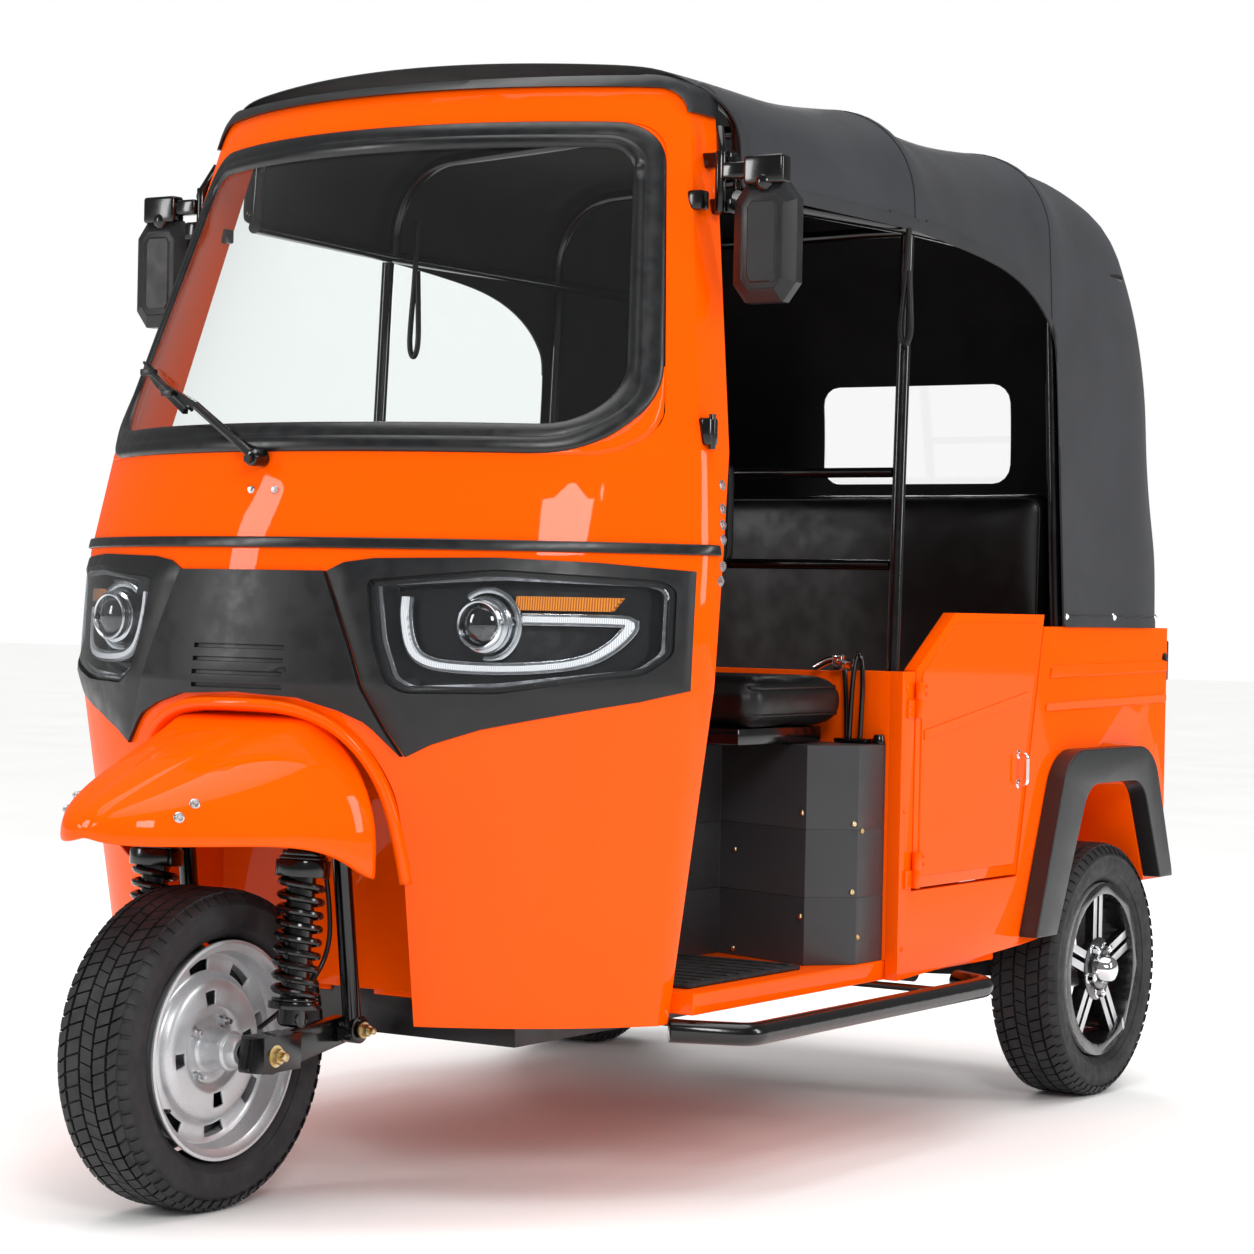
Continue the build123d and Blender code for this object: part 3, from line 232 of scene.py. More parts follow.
def silver_enamel():
    """Aluminium-flake wheel enamel: light silver grey, soft metallic sheen."""
    made, tree, shader = surface("flake_enamel", linear("#C4C6C9"), 0.36, 0.6, coat_weight=0.3,
                                 coat_roughness=0.12)
    vary_colour(tree, shader, 0.9, linear("#B4B6B9"), linear("#D6D8DB"), 1.0)
    vary_roughness(tree, shader, 30, 0.32, 0.4)
    return made


def machined_alloy():
    """Diamond-turned aluminium: bright, with fine turning marks round the hub."""
    made, tree, shader = surface("turned_aluminium", linear("#D9DADC"), 0.4, 0.8)
    vary_roughness(tree, shader, 12, 0.34, 0.46)
    relief(tree, shader, pattern(tree, "TexNoise", 1.0, {"Detail": 1.0}), "Fac", 0.012, 0.3)
    return made


def wheel_black():
    """Gloss black stoved paint between the spokes."""
    made, tree, shader = surface("stoved_black", linear("#101113"), 0.25, coat_weight=0.6, coat_roughness=0.1)
    vary_roughness(tree, shader, 30, 0.2, 0.32)
    return made


def chrome():
    """Chrome-plated steel: mirror bright, hardly any roughness."""
    made, tree, shader = surface("chrome_plate", linear("#E9EAEC"), 0.07, 1.0)
    vary_roughness(tree, shader, 20, 0.05, 0.12)
    return made


def zinc():
    """Zinc-plated fasteners and slides: pale grey metal with a slightly uneven passivated tone."""
    made, tree, shader = surface("zinc_plate", linear("#B9BBBD"), 0.3, 1.0)
    vary_colour(tree, shader, 14, linear("#A9ABAE"), linear("#CDCFCF"))
    vary_roughness(tree, shader, 8, 0.24, 0.38)
    return made


def yellow_zinc():
    """Yellow-passivated zinc bolts: pale gold with a faint iridescence."""
    made, tree, shader = surface("yellow_zinc_plate", linear("#C9B27A"), 0.3, 1.0)
    vary_colour(tree, shader, 9, linear("#BFA062"), linear("#D8CBA6"))
    return made


def cast_metal():
    """Sand-cast aluminium and painted iron under the floor: dull dark grey with a grainy skin."""
    made, tree, shader = surface("sand_cast_alloy", linear("#5A5C5E"), 0.55, 0.8)
    vary_colour(tree, shader, 45, linear("#4A4B4D"), linear("#6C6E70"), 5.0)
    relief(tree, shader, pattern(tree, "TexNoise", 2.5, {"Detail": 4.0}), "Fac", 0.25, 0.6)
    return made


def chassis_black():
    """Brushed-on chassis black: dark, uneven, between satin and gloss."""
    made, tree, shader = surface("chassis_paint", linear("#121214"), 0.4)
    vary_roughness(tree, shader, 50, 0.3, 0.52)
    relief(tree, shader, pattern(tree, "TexNoise", 6, {"Detail": 3.0}), "Fac", 0.08, 0.4)
    return made


def glass():
    """Float glass: clear with a faint green body, mirror smooth; lamps shine through it."""
    return clear_pane("float_glass", "#FBFEFD", 1.45)


def clear_film():
    """Calendered PVC window film: clear."""
    return clear_pane("pvc_film", "#FBFBFB", 1.3)


def lamp_lens():
    """Injection-moulded polycarbonate lamp cover: clear and glossy."""
    return clear_pane("polycarbonate", "#FBFCFD", 1.45)


def clear_pane(name, tint, ior):
    """Clear sheet: sees through, mirrors more at a slant, and lets lamps through unbent."""
    made, tree, shader = surface(name, linear("#0C0F0E"), 0.02, ior=ior)
    tree.nodes.remove(shader)
    out = tree.nodes["Material Output"]
    through = add_node(tree, "BsdfTransparent", {"Color": linear(tint)})
    mirror = add_node(tree, "BsdfGlossy", {"Color": grey(1.0), "Roughness": 0.02})
    slant = add_node(tree, "LayerWeight", {"Blend": 0.5})
    steep = add_node(tree, "Math", {1: 4.0}, {0: (slant, "Facing")}, operation="POWER")
    share = add_node(tree, "Math", {1: 0.55, 2: 0.035}, {0: (steep, "Value")}, operation="MULTIPLY_ADD")
    mixed = add_node(tree, "MixShader", links={0: (share, "Value"), 1: (through, "BSDF"), 2: (mirror, "BSDF")})
    tree.links.new(mixed.outputs[0], out.inputs["Surface"])
    return made


def leatherette():
    """Embossed PVC leatherette: black, soft sheen, fine pebbled grain."""
    made, tree, shader = surface("pvc_leatherette", linear("#060607"), 0.34, specular_ior_level=0.35)
    pebble = pattern(tree, "TexVoronoi", 2.2, feature="DISTANCE_TO_EDGE")
    relief(tree, shader, pebble, "Distance", 0.25, 0.5)
    vary_roughness(tree, shader, 45, 0.33, 0.46)
    vary_colour(tree, shader, 160, linear("#050506"), linear("#09090A"))
    return made


def canvas_outer():
    """PVC-coated polyester canvas: charcoal, matt, with the weave just showing through the coat."""
    return cloth("pvc_canvas", tones(bpy.context.scene.rickshaw_colours.canvas, 0.12), (0.5, 0.62))


WEAVE = 3.6      # thread spacing in millimetres, drawn coarser than the real 0.5 so that it shows


def cloth(name, tone, rough):
    """Woven sheet with two tones and a range of roughness."""
    made, tree, shader = surface(name, tone[0], rough[0], specular_ior_level=0.25, sheen_weight=0.05,
                                 sheen_roughness=0.5)
    warp, weft = (pattern(tree, "TexWave", 2 * WEAVE, {"Distortion": 0.6, "Detail": 1.0}, bands_direction=way)
                  for way in "YZ")
    both = add_node(tree, "Math", links={0: (warp, "Fac"), 1: (weft, "Fac")}, operation="MULTIPLY")
    relief(tree, shader, both, "Value", 0.1, 0.3)
    relief(tree, shader, pattern(tree, "TexNoise", 170, {"Detail": 3.0}), "Fac", 4.0, 0.35)
    vary_colour(tree, shader, 240, *tone, 4.0)
    vary_roughness(tree, shader, 90, *rough)
    return made


def canvas_inner():
    """Uncoated back of the canvas: near black, woven, no shine."""
    return cloth("canvas_back", (linear("#0C0C0D"), linear("#121213")), (0.75, 0.85))


def binding_tape():
    """Woven edge binding, a shade darker than the canvas."""
    return cloth("binding_tape", (linear("#27282B"), linear("#2F3033")), (0.5, 0.6))


def thread():
    """Bonded polyester thread: dark grey, slightly glossy."""
    made, tree, shader = surface("bonded_thread", linear("#3C3D40"), 0.5)
    vary_roughness(tree, shader, 6, 0.42, 0.6)
    return made


def red_lens():
    """Red acrylic lamp lens with moulded prisms."""
    made, tree, shader = surface("red_acrylic", linear("#A30D12"), 0.12, coat_weight=1.0, coat_roughness=0.04)
    relief(tree, shader, pattern(tree, "TexWave", 2 * 6, bands_direction="Z"), "Fac", 0.3, 0.5)
    return made


def amber_lens():
    """Amber acrylic turn lamp with fine vertical ribs."""
    made, tree, shader = surface("amber_acrylic", linear("#E07A0C"), 0.2, coat_weight=1.0, coat_roughness=0.05)
    rib = pattern(tree, "TexWave", 2 * 5, bands_direction="X")
    graded(tree, shader, "Base Color", rib, (0.2, linear("#B9570A")), (0.8, linear("#F59A26")))
    relief(tree, shader, rib, "Fac", 0.4, 0.5)
    return made


def light_guide():
    """Frosted polycarbonate light guide: milky white with a row of fine optics."""
    made, tree, shader = surface("frosted_polycarbonate", linear("#EDEFF1"), 0.3, coat_weight=0.6)
    optic = pattern(tree, "TexWave", 2 * 4, bands_direction="X")
    graded(tree, shader, "Base Color", optic, (0.1, linear("#C9CDD2")), (0.7, linear("#FFFFFF")))
    relief(tree, shader, optic, "Fac", 0.3, 0.5)
    return made


def lamp_bowl():
    """Moulded lamp bowl: gloss dark grey plastic."""
    made, tree, shader = surface("lamp_bowl_plastic", linear("#1A1C1F"), 0.18, coat_weight=0.5)
    vary_roughness(tree, shader, 30, 0.14, 0.25)
    return made


def lamp_reflector():
    """Vacuum-metallised reflector: bright, faintly dusty aluminium."""
    made, tree, shader = surface("metallised_reflector", linear("#CDD0D3"), 0.16, 1.0)
    vary_roughness(tree, shader, 15, 0.1, 0.24)
    return made


def dark_glass():
    """Projector lens: thick glass over a dark bore."""
    made, tree, shader = surface("optic_glass", linear("#0A0C10"), 0.03, coat_weight=1.0, coat_roughness=0.0,
                                 specular_ior_level=0.9)
    vary_roughness(tree, shader, 20, 0.02, 0.05)
    return made


def floor_mat():
    """Moulded rubber mat: black with a coarse pebbled tread."""
    made, tree, shader = surface("moulded_rubber_mat", linear("#161617"), 0.75)
    relief(tree, shader, pattern(tree, "TexVoronoi", 9), "Distance", 1.5, 0.8)
    vary_colour(tree, shader, 20, linear("#111112"), linear("#242425"), 5.0)
    return made


def studio_floor():
    """Painted studio floor: plain, pale, matt."""
    made, tree, shader = surface("studio_paint", linear("#F4F4F3"), 0.6, specular_ior_level=0.2)
    vary_roughness(tree, shader, 800, 0.55, 0.65)
    return made


MAKERS = {f.__name__: f for f in (
    orange_enamel, moulded_black, charcoal_abs, satin_black, gloss_black, seal_rubber, tyre_rubber, silver_enamel,
    machined_alloy, wheel_black, chrome, zinc, yellow_zinc, cast_metal, chassis_black, glass, clear_film,
    lamp_lens, leatherette, canvas_outer, canvas_inner, binding_tape, thread, red_lens, amber_lens,
    light_guide, lamp_bowl, lamp_reflector, dark_glass, floor_mat, studio_floor)}


# ------------------------------------------------------------------ mesh helpers
def smooth(obj, angle=35.0):
    """Smooth shading with edges kept sharp above an angle."""
    obj.data.polygons.foreach_set("use_smooth", [True] * len(obj.data.polygons))
    obj.data.set_sharp_from_angle(angle=math.radians(angle))
    return obj


def piece(bm, name, finish, body="body", replaces=(), bevel_mm=0.0, segments=2, subdiv=0,
          angle=35.0, recalc=True):
    """Turns a bmesh into a finished object that rides on a body."""
    if recalc:
        bmesh.ops.remove_doubles(bm, verts=bm.verts, dist=0.02 * MM)
        bmesh.ops.recalc_face_normals(bm, faces=bm.faces)
    mesh = bpy.data.meshes.new(name)
    bm.to_mesh(mesh)
    bm.free()
    obj = bpy.data.objects.new(name, mesh)
    bpy.context.scene.collection.objects.link(obj)
    finishes = [finish] if isinstance(finish, str) else finish
    for each in finishes:
        mesh.materials.append(Finishes.get(each))
    if bevel_mm:
        edge = obj.modifiers.new("edge", "BEVEL")
        edge.width = bevel_mm * MM
        edge.segments = segments
        edge.limit_method = "ANGLE"
        edge.angle_limit = math.radians(angle)
        edge.harden_normals = True
    if subdiv:
        sub = obj.modifiers.new("smooth", "SUBSURF")
        sub.levels = sub.render_levels = subdiv
    smooth(obj, 180.0 if (bevel_mm or subdiv) else angle)
    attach(obj, body)
    if replaces:
        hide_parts(*replaces)
    return obj


def apply_modifiers(obj):
    """Swaps the mesh for what its modifiers make of it."""
    made = bpy.data.meshes.new_from_object(obj.evaluated_get(bpy.context.evaluated_depsgraph_get()))
    obj.modifiers.clear()
    obj.data = made
    return obj


def cad_bmesh(node):
    """Copy of a frame node's mesh with its loose triangles joined and its flats made whole."""
    bm = bmesh.new()
    bm.from_mesh(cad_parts[node].data)
    bmesh.ops.remove_doubles(bm, verts=bm.verts, dist=0.01 * MM)
    bmesh.ops.dissolve_limit(bm, angle_limit=math.radians(0.6), verts=bm.verts, edges=bm.edges,
                             delimit={"NORMAL"})
    return bm


def dressed(node, finish, bevel_mm=1.5, segments=2, angle=35.0, body="body"):
    """A frame node's own shape with its edges rounded off."""
    return piece(cad_bmesh(node), node + "_finished", finish, body, (node,), bevel_mm, segments,
                 angle=angle, recalc=False)


def finish_node(node, finish):
    """Keeps a frame node's mesh and gives it a finish."""
    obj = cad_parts[node]
    obj.data.materials.clear()
    obj.data.materials.append(Finishes.get(finish))
    obj.data.polygons.foreach_set("material_index", [0] * len(obj.data.polygons))


def bevelled(bm, geom, width_mm, segments, affect="EDGES"):
    """Rounds edges, or the corners of a flat outline."""
    bmesh.ops.bevel(bm, geom=geom, offset=width_mm * MM, offset_type="OFFSET", affect=affect, segments=segments,
                    profile=0.5, material=-1, clamp_overlap=True)


def verts_in(geom):
    """Vertices in what an operator returned."""
    return [g for g in geom if isinstance(g, bmesh.types.BMVert)]


def draw_out(bm, faces, move):
    """Extrudes faces and moves what is new; returns it."""
    geom = bmesh.ops.extrude_face_region(bm, geom=faces)["geom"]
    bmesh.ops.translate(bm, verts=verts_in(geom), vec=move)
    return geom


def slice_at(bm, place, normal):
    """Cuts every face that a plane passes through in two."""
    bmesh.ops.bisect_plane(bm, geom=bm.verts[:] + bm.edges[:] + bm.faces[:], dist=1e-6, plane_co=place,
                           plane_no=normal)


def net(bm, rows):
    """Sheet of four-sided faces drawn out from its first row of points to the next ones."""
    line = [bm.verts.new(p) for p in rows[0]]
    for pair in zip(line, line[1:]):
        bm.edges.new(pair)
    for row in rows[1:]:
        edges = [bm.edges.get(pair) for pair in zip(line, line[1:])]
        fresh = set(verts_in(bmesh.ops.extrude_edge_only(bm, edges=edges)["geom"]))
        line = [next(e.other_vert(v) for e in v.link_edges if e.other_vert(v) in fresh) for v in line]
        for v, p in zip(line, row):
            v.co = p
    return line


def walled(obj, thickness_mm, offset=-1.0):
    """Gives a sheet its thickness."""
    wall = obj.modifiers.new("wall", "SOLIDIFY")
    wall.thickness, wall.offset = thickness_mm * MM, offset
    return wall


def cube(bm, low, high, bevel_mm=0.0, segments=2):
    """Box between two corners in the frame, with rounded edges."""
    low, high = Vector(low), Vector(high)
    size = high - low
    made = bmesh.ops.create_cube(bm, size=1.0, matrix=Matrix.Translation((low + high) / 2)
                                 @ Matrix.Diagonal((*size, 1.0)))["verts"]
    if bevel_mm:
        bevelled(bm, list({e for v in made for e in v.link_edges}), bevel_mm, segments)


def box_mm(bm, low, high, bevel_mm=0.0, segments=2):
    """Box between two corners in the part's own millimetres."""
    cube(bm, axle(*low), axle(*high), bevel_mm, segments)


def along(start, end):
    """Matrix that takes the Z axis to the line from start to end, with its origin half way."""
    start, end = Vector(start), Vector(end)
    turn = (end - start).to_track_quat("Z", "Y").to_matrix().to_4x4()
    return Matrix.Translation((start + end) / 2) @ turn


def cylinder(bm, start, end, radius, segments=32, radius_end=None, bevel_mm=0.0):
    """Round bar, cone or, with six segments, a hexagon between two points of the frame."""
    start, end = Vector(start), Vector(end)
    made = bmesh.ops.create_cone(bm, cap_ends=True, cap_tris=False, segments=segments, radius1=radius,
                                 radius2=radius if radius_end is None else radius_end,
                                 depth=(end - start).length, matrix=along(start, end))["verts"]
    if bevel_mm:
        rims = [e for e in {e for v in made for e in v.link_edges}
                if any(len(f.verts) > 4 for f in e.link_faces)]
        bevelled(bm, rims, bevel_mm, 2)


def ball(bm, centre, radius, u=20, v=12):
    """Sphere about a frame point."""
    bmesh.ops.create_uvsphere(bm, u_segments=u, v_segments=v, radius=radius, matrix=Matrix.Translation(centre))


def spin_profile(bm, points, centre, steps=72, close=False):
    """Turns a profile of (distance along X from the centre, radius) about the X axis."""
    verts = [bm.verts.new(centre + Vector((x, 0.0, r))) for x, r in points]
    edges = [bm.edges.new(pair) for pair in zip(verts, verts[1:])]
    if close:
        edges.append(bm.edges.new((verts[-1], verts[0])))
    bmesh.ops.spin(bm, geom=verts + edges, cent=centre, axis=(1, 0, 0), angle=math.tau, steps=steps,
                   use_merge=True, use_duplicate=False)


def bolt(bm, place, axis, radius, height, washer=1.5):
    """Hexagon-headed bolt on its washer, standing off a surface along axis."""
    place, axis = Vector(place), Vector(axis).normalized()
    cylinder(bm, place, place + axis * height * 0.3, radius * washer, 20)
    cylinder(bm, place + axis * height * 0.25, place + axis * height, radius, 6, radius * 0.94)


def dome(bm, place, axis, radius, height, u=16):
    """Low round head of a rivet, snap or screw."""
    place, axis = Vector(place), Vector(axis).normalized()
    turn = axis.to_track_quat("Z", "Y").to_matrix().to_4x4()
    matrix = Matrix.Translation(place) @ turn @ Matrix.Diagonal((1, 1, height / radius, 1))
    bmesh.ops.create_uvsphere(bm, u_segments=u, v_segments=8, radius=radius, matrix=matrix)


def tube_along(points, radius, resolution=6, bend=True, cyclic=False):
    """Round tube that follows points of the frame, made a mesh."""
    curve = bpy.data.curves.new("tube", "CURVE")
    curve.dimensions = "3D"
    curve.bevel_depth = radius
    curve.bevel_resolution = resolution
    curve.use_fill_caps = not cyclic
    spline = curve.splines.new("NURBS" if bend else "POLY")
    spline.points.add(len(points) - 1)
    for point, place in zip(spline.points, points):
        point.co = (*place, 1.0)
    if bend:
        spline.order_u = 3
        spline.use_endpoint_u = not cyclic
        spline.resolution_u = 12
    spline.use_cyclic_u = cyclic
    holder = bpy.data.objects.new("tube", curve)
    bpy.context.scene.collection.objects.link(holder)
    mesh = bpy.data.meshes.new_from_object(holder.evaluated_get(bpy.context.evaluated_depsgraph_get()))
    bpy.data.objects.remove(holder)
    bm = bmesh.new()
    bm.from_mesh(mesh)
    return bm


def merge(bm, other):
    """Adds another bmesh to this one."""
    mesh = bpy.data.meshes.new("joined")
    other.to_mesh(mesh)
    other.free()
    bm.from_mesh(mesh)
    bpy.data.meshes.remove(mesh)


def mirrored(bm):
    """Adds the twin on the other side of the vehicle."""
    geom = bm.verts[:] + bm.edges[:] + bm.faces[:]
    twin = bmesh.ops.duplicate(bm, geom=geom)["geom"]
    bmesh.ops.scale(bm, vec=(-1, 1, 1), verts=verts_in(twin))
    bmesh.ops.reverse_faces(bm, faces=[g for g in twin if isinstance(g, bmesh.types.BMFace)])


def flip_x(bm):
    """Turns the whole mesh into its twin on the other side."""
    bmesh.ops.scale(bm, vec=(-1, 1, 1), verts=bm.verts)
    bmesh.ops.reverse_faces(bm, faces=bm.faces)
    return bm


class Skin:
    """Outer faces of frame nodes, for seating small pieces on them."""

    def __init__(self, *nodes):
        points, faces = [], []
        for node in nodes:
            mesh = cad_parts[node].data
            start = len(points)
            points += [v.co.copy() for v in mesh.vertices]
            faces += [[start + i for i in p.vertices] for p in mesh.polygons]
        self.tree = BVHTree.FromPolygons(points, faces)

    def ahead(self, x_mm, z_mm):
        """First point met from the front, and the normal there."""
        hit = self.tree.ray_cast(Vector((x_mm * MM, -5.0, z_mm * MM)), Vector((0, 1, 0)))
        return hit[0], hit[1]

    def beside(self, y_mm, z_mm, side=LEFT):
        """First point met from the vehicle's side."""
        start = axle(side * 5000, y_mm, z_mm)
        hit = self.tree.ray_cast(start, Vector((-side, 0, 0)))
        return hit[0], hit[1]


def drape(bm, skin):
    """Lays a mesh drawn in the front view on a skin: its y, in metres, becomes the depth behind the skin."""
    for v in bm.verts:
        hit, _ = skin.ahead(v.co.x / MM, v.co.z / MM)
        if hit is not None:
            v.co.y += hit.y


# ------------------------------------------------------------------ stage, lamps and camera
CAMERA_PLACE = (3.218, -4.858, 0.954)
CAMERA_AZIMUTH = 32.699
CAMERA_PITCH = -0.384
CAMERA_ROLL = 1.138
CAMERA_LENS = 90.39
SENSOR = 36.0


def make_stage(sizes):
    """Pale floor, soft studio lamps and the camera."""
    bm = bmesh.new()
    bmesh.ops.create_grid(bm, x_segments=2, y_segments=2, size=sizes.floor_half)
    mesh = bpy.data.meshes.new("studio_floor")
    bm.to_mesh(mesh)
    bm.free()
    floor = bpy.data.objects.new("studio_floor", mesh)
    bpy.context.scene.collection.objects.link(floor)
    mesh.materials.append(Finishes.get("studio_floor"))

    world = bpy.data.worlds.new("studio")
    world.use_nodes = True
    tree = world.node_tree
    seen = tree.nodes["Background"]
    seen.inputs["Color"].default_value = (1.0, 1.0, 1.0, 1.0)
    seen.inputs["Strength"].default_value = 1.0
    path = add_node(tree, "LightPath")
    dim = add_node(tree, "Background", {"Color": grey(1.0), "Strength": 0.2 * sizes.surround_light})
    soft = add_node(tree, "Background", {"Color": grey(1.0), "Strength": 0.62 * sizes.surround_light})
    glossy = add_node(tree, "MixShader", links={0: (path, "Is Glossy Ray"), 1: (soft, "Background"),
                                                2: (dim, "Background")})
    shown = add_node(tree, "MixShader", links={0: (path, "Is Camera Ray"), 1: (glossy, "Shader"),
                                               2: (seen, "Background")})
    tree.links.new(shown.outputs["Shader"], tree.nodes["World Output"].inputs["Surface"])
    bpy.context.scene.world = world
    # name, place, target, width, height, watts
    lamps = (("key_box", (4.2, -4.6, 3.6), (0.2, -0.4, 0.9), 1.3, 1.7, 125.0),
             ("front_box", (-3.4, -4.6, 2.4), (0.0, -0.6, 0.9), 0.8, 2.2, 70.0),
             ("side_strip", (5.2, 1.4, 2.6), (0.5, 0.6, 0.8), 1.0, 2.6, 90.0),
             ("roof_box", (0.0, 0.2, 5.0), (0.0, 0.2, 1.0), 3.6, 4.6, 40.0),
             ("rear_box", (-2.8, 4.6, 2.8), (0.0, 0.8, 1.0), 2.4, 2.0, 90.0))
    sky = bpy.data.lights.new("sky_lamp", "SUN")
    sky.energy, sky.angle = 1.7 * sizes.lamp_light, math.radians(60)
    bpy.context.scene.collection.objects.link(bpy.data.objects.new("sky_lamp", sky))
    for name, place, target, wide, high, watts in lamps:
        light = bpy.data.lights.new(name, "AREA")
        light.shape = "RECTANGLE"
        light.size, light.size_y, light.energy = wide, high, watts * sizes.lamp_light
        lamp = bpy.data.objects.new(name, light)
        lamp.location = place
        lamp.rotation_euler = (Vector(target) - Vector(place)).to_track_quat("-Z", "Y").to_euler()
        bpy.context.scene.collection.objects.link(lamp)

    turn, pitch, roll = (math.radians(a) for a in (CAMERA_AZIMUTH, CAMERA_PITCH, CAMERA_ROLL))
    ahead = Vector((-math.sin(turn) * math.cos(pitch), math.cos(turn) * math.cos(pitch), math.sin(pitch)))
    level = Vector((math.cos(turn), math.sin(turn), 0.0))
    upright = level.cross(ahead)
    right = level * math.cos(roll) + upright * math.sin(roll)
    up = upright * math.cos(roll) - level * math.sin(roll)
    data = bpy.data.cameras.new("studio_camera")
    data.lens, data.sensor_width, data.sensor_height = CAMERA_LENS, SENSOR, SENSOR
    camera = bpy.data.objects.new("studio_camera", data)
    camera.matrix_world = Matrix((right, up, -ahead)).transposed().to_4x4()
    camera.location = CAMERA_PLACE
    bpy.context.scene.collection.objects.link(camera)
    bpy.context.scene.camera = camera
    bpy.context.scene.view_settings.view_transform = "Standard"


# ------------------------------------------------------------------ wheels
# half profile of the carcass: distance from the middle, radius
CARCASS = ((48, 173), (56, 177), (63, 188), (64.5, 190.5), (65.5, 190.0), (68.5, 203), (69.6, 214), (69.0, 224),
           (69.4, 226), (68.2, 228), (65.5, 236), (58.5, 242.5), (45, 244), (0, 244.5))
GROOVE_FLOOR = 241.0
# tread blocks: from x, to x, share of the pitch, skew in millimetres
TREAD = ((-58, -43, 0.8, 5), (-38, -15, 0.86, 4), (-10.5, 10.5, 0.9, -3), (15, 38, 0.86, 4), (43, 58, 0.8, 5))
PITCHES = 66
SHOULDER_AT, SHOULDER_DROP, CROWN_DROP = 50.0, 3.5, 0.4     # how much lower the blocks are near the wall


def tyre(name, body, centre):
    """Carcass turned in one piece with blocks of tread set round it."""
    bm = bmesh.new()
    half = [(x * MM, r * MM) for x, r in CARCASS]
    spin_profile(bm, half + [(-x, r) for x, r in reversed(half[:-1])], centre, 128)
    pitch = math.tau / PITCHES
    for row, (x0, x1, share, skew) in enumerate(TREAD):
        for i in range(PITCHES):
            length = TYRE_R * pitch * share
            block = bmesh.ops.create_cube(bm, size=1.0)["verts"]
            for v in block:
                v.co = Vector(((x0 + x1) / 2 * MM + v.co.x * (x1 - x0) * MM,
                               v.co.y * length + v.co.x * skew * MM * 2,
                               (GROOVE_FLOOR * MM + TYRE_R) / 2 + v.co.z * (TYRE_R - GROOVE_FLOOR * MM)))
                if v.co.z > GROOVE_FLOOR * MM + MM:
                    v.co.z -= (SHOULDER_DROP if abs(v.co.x) > SHOULDER_AT * MM else CROWN_DROP) * MM
            turn = Matrix.Translation(centre) @ Matrix.Rotation(pitch * (i + row % 2 * 0.5), 4, "X")
            bmesh.ops.transform(bm, matrix=turn, verts=block)
    for side in (-1, 1):
        for i in range(PITCHES):
            lug = bmesh.ops.create_cube(bm, size=1.0)["verts"]
            for v in lug:
                v.co = Vector((side * 61.5 * MM + v.co.x * 12 * MM - side * v.co.z * 6 * MM, v.co.y * 15 * MM,
                               240 * MM + v.co.z * 9 * MM - side * v.co.x * 6 * MM))
            turn = Matrix.Translation(centre) @ Matrix.Rotation(pitch * i, 4, "X")
            bmesh.ops.transform(bm, matrix=turn, verts=lug)
    piece(bm, name + "_treaded", "tyre_rubber", body, (name,), angle=40.0)


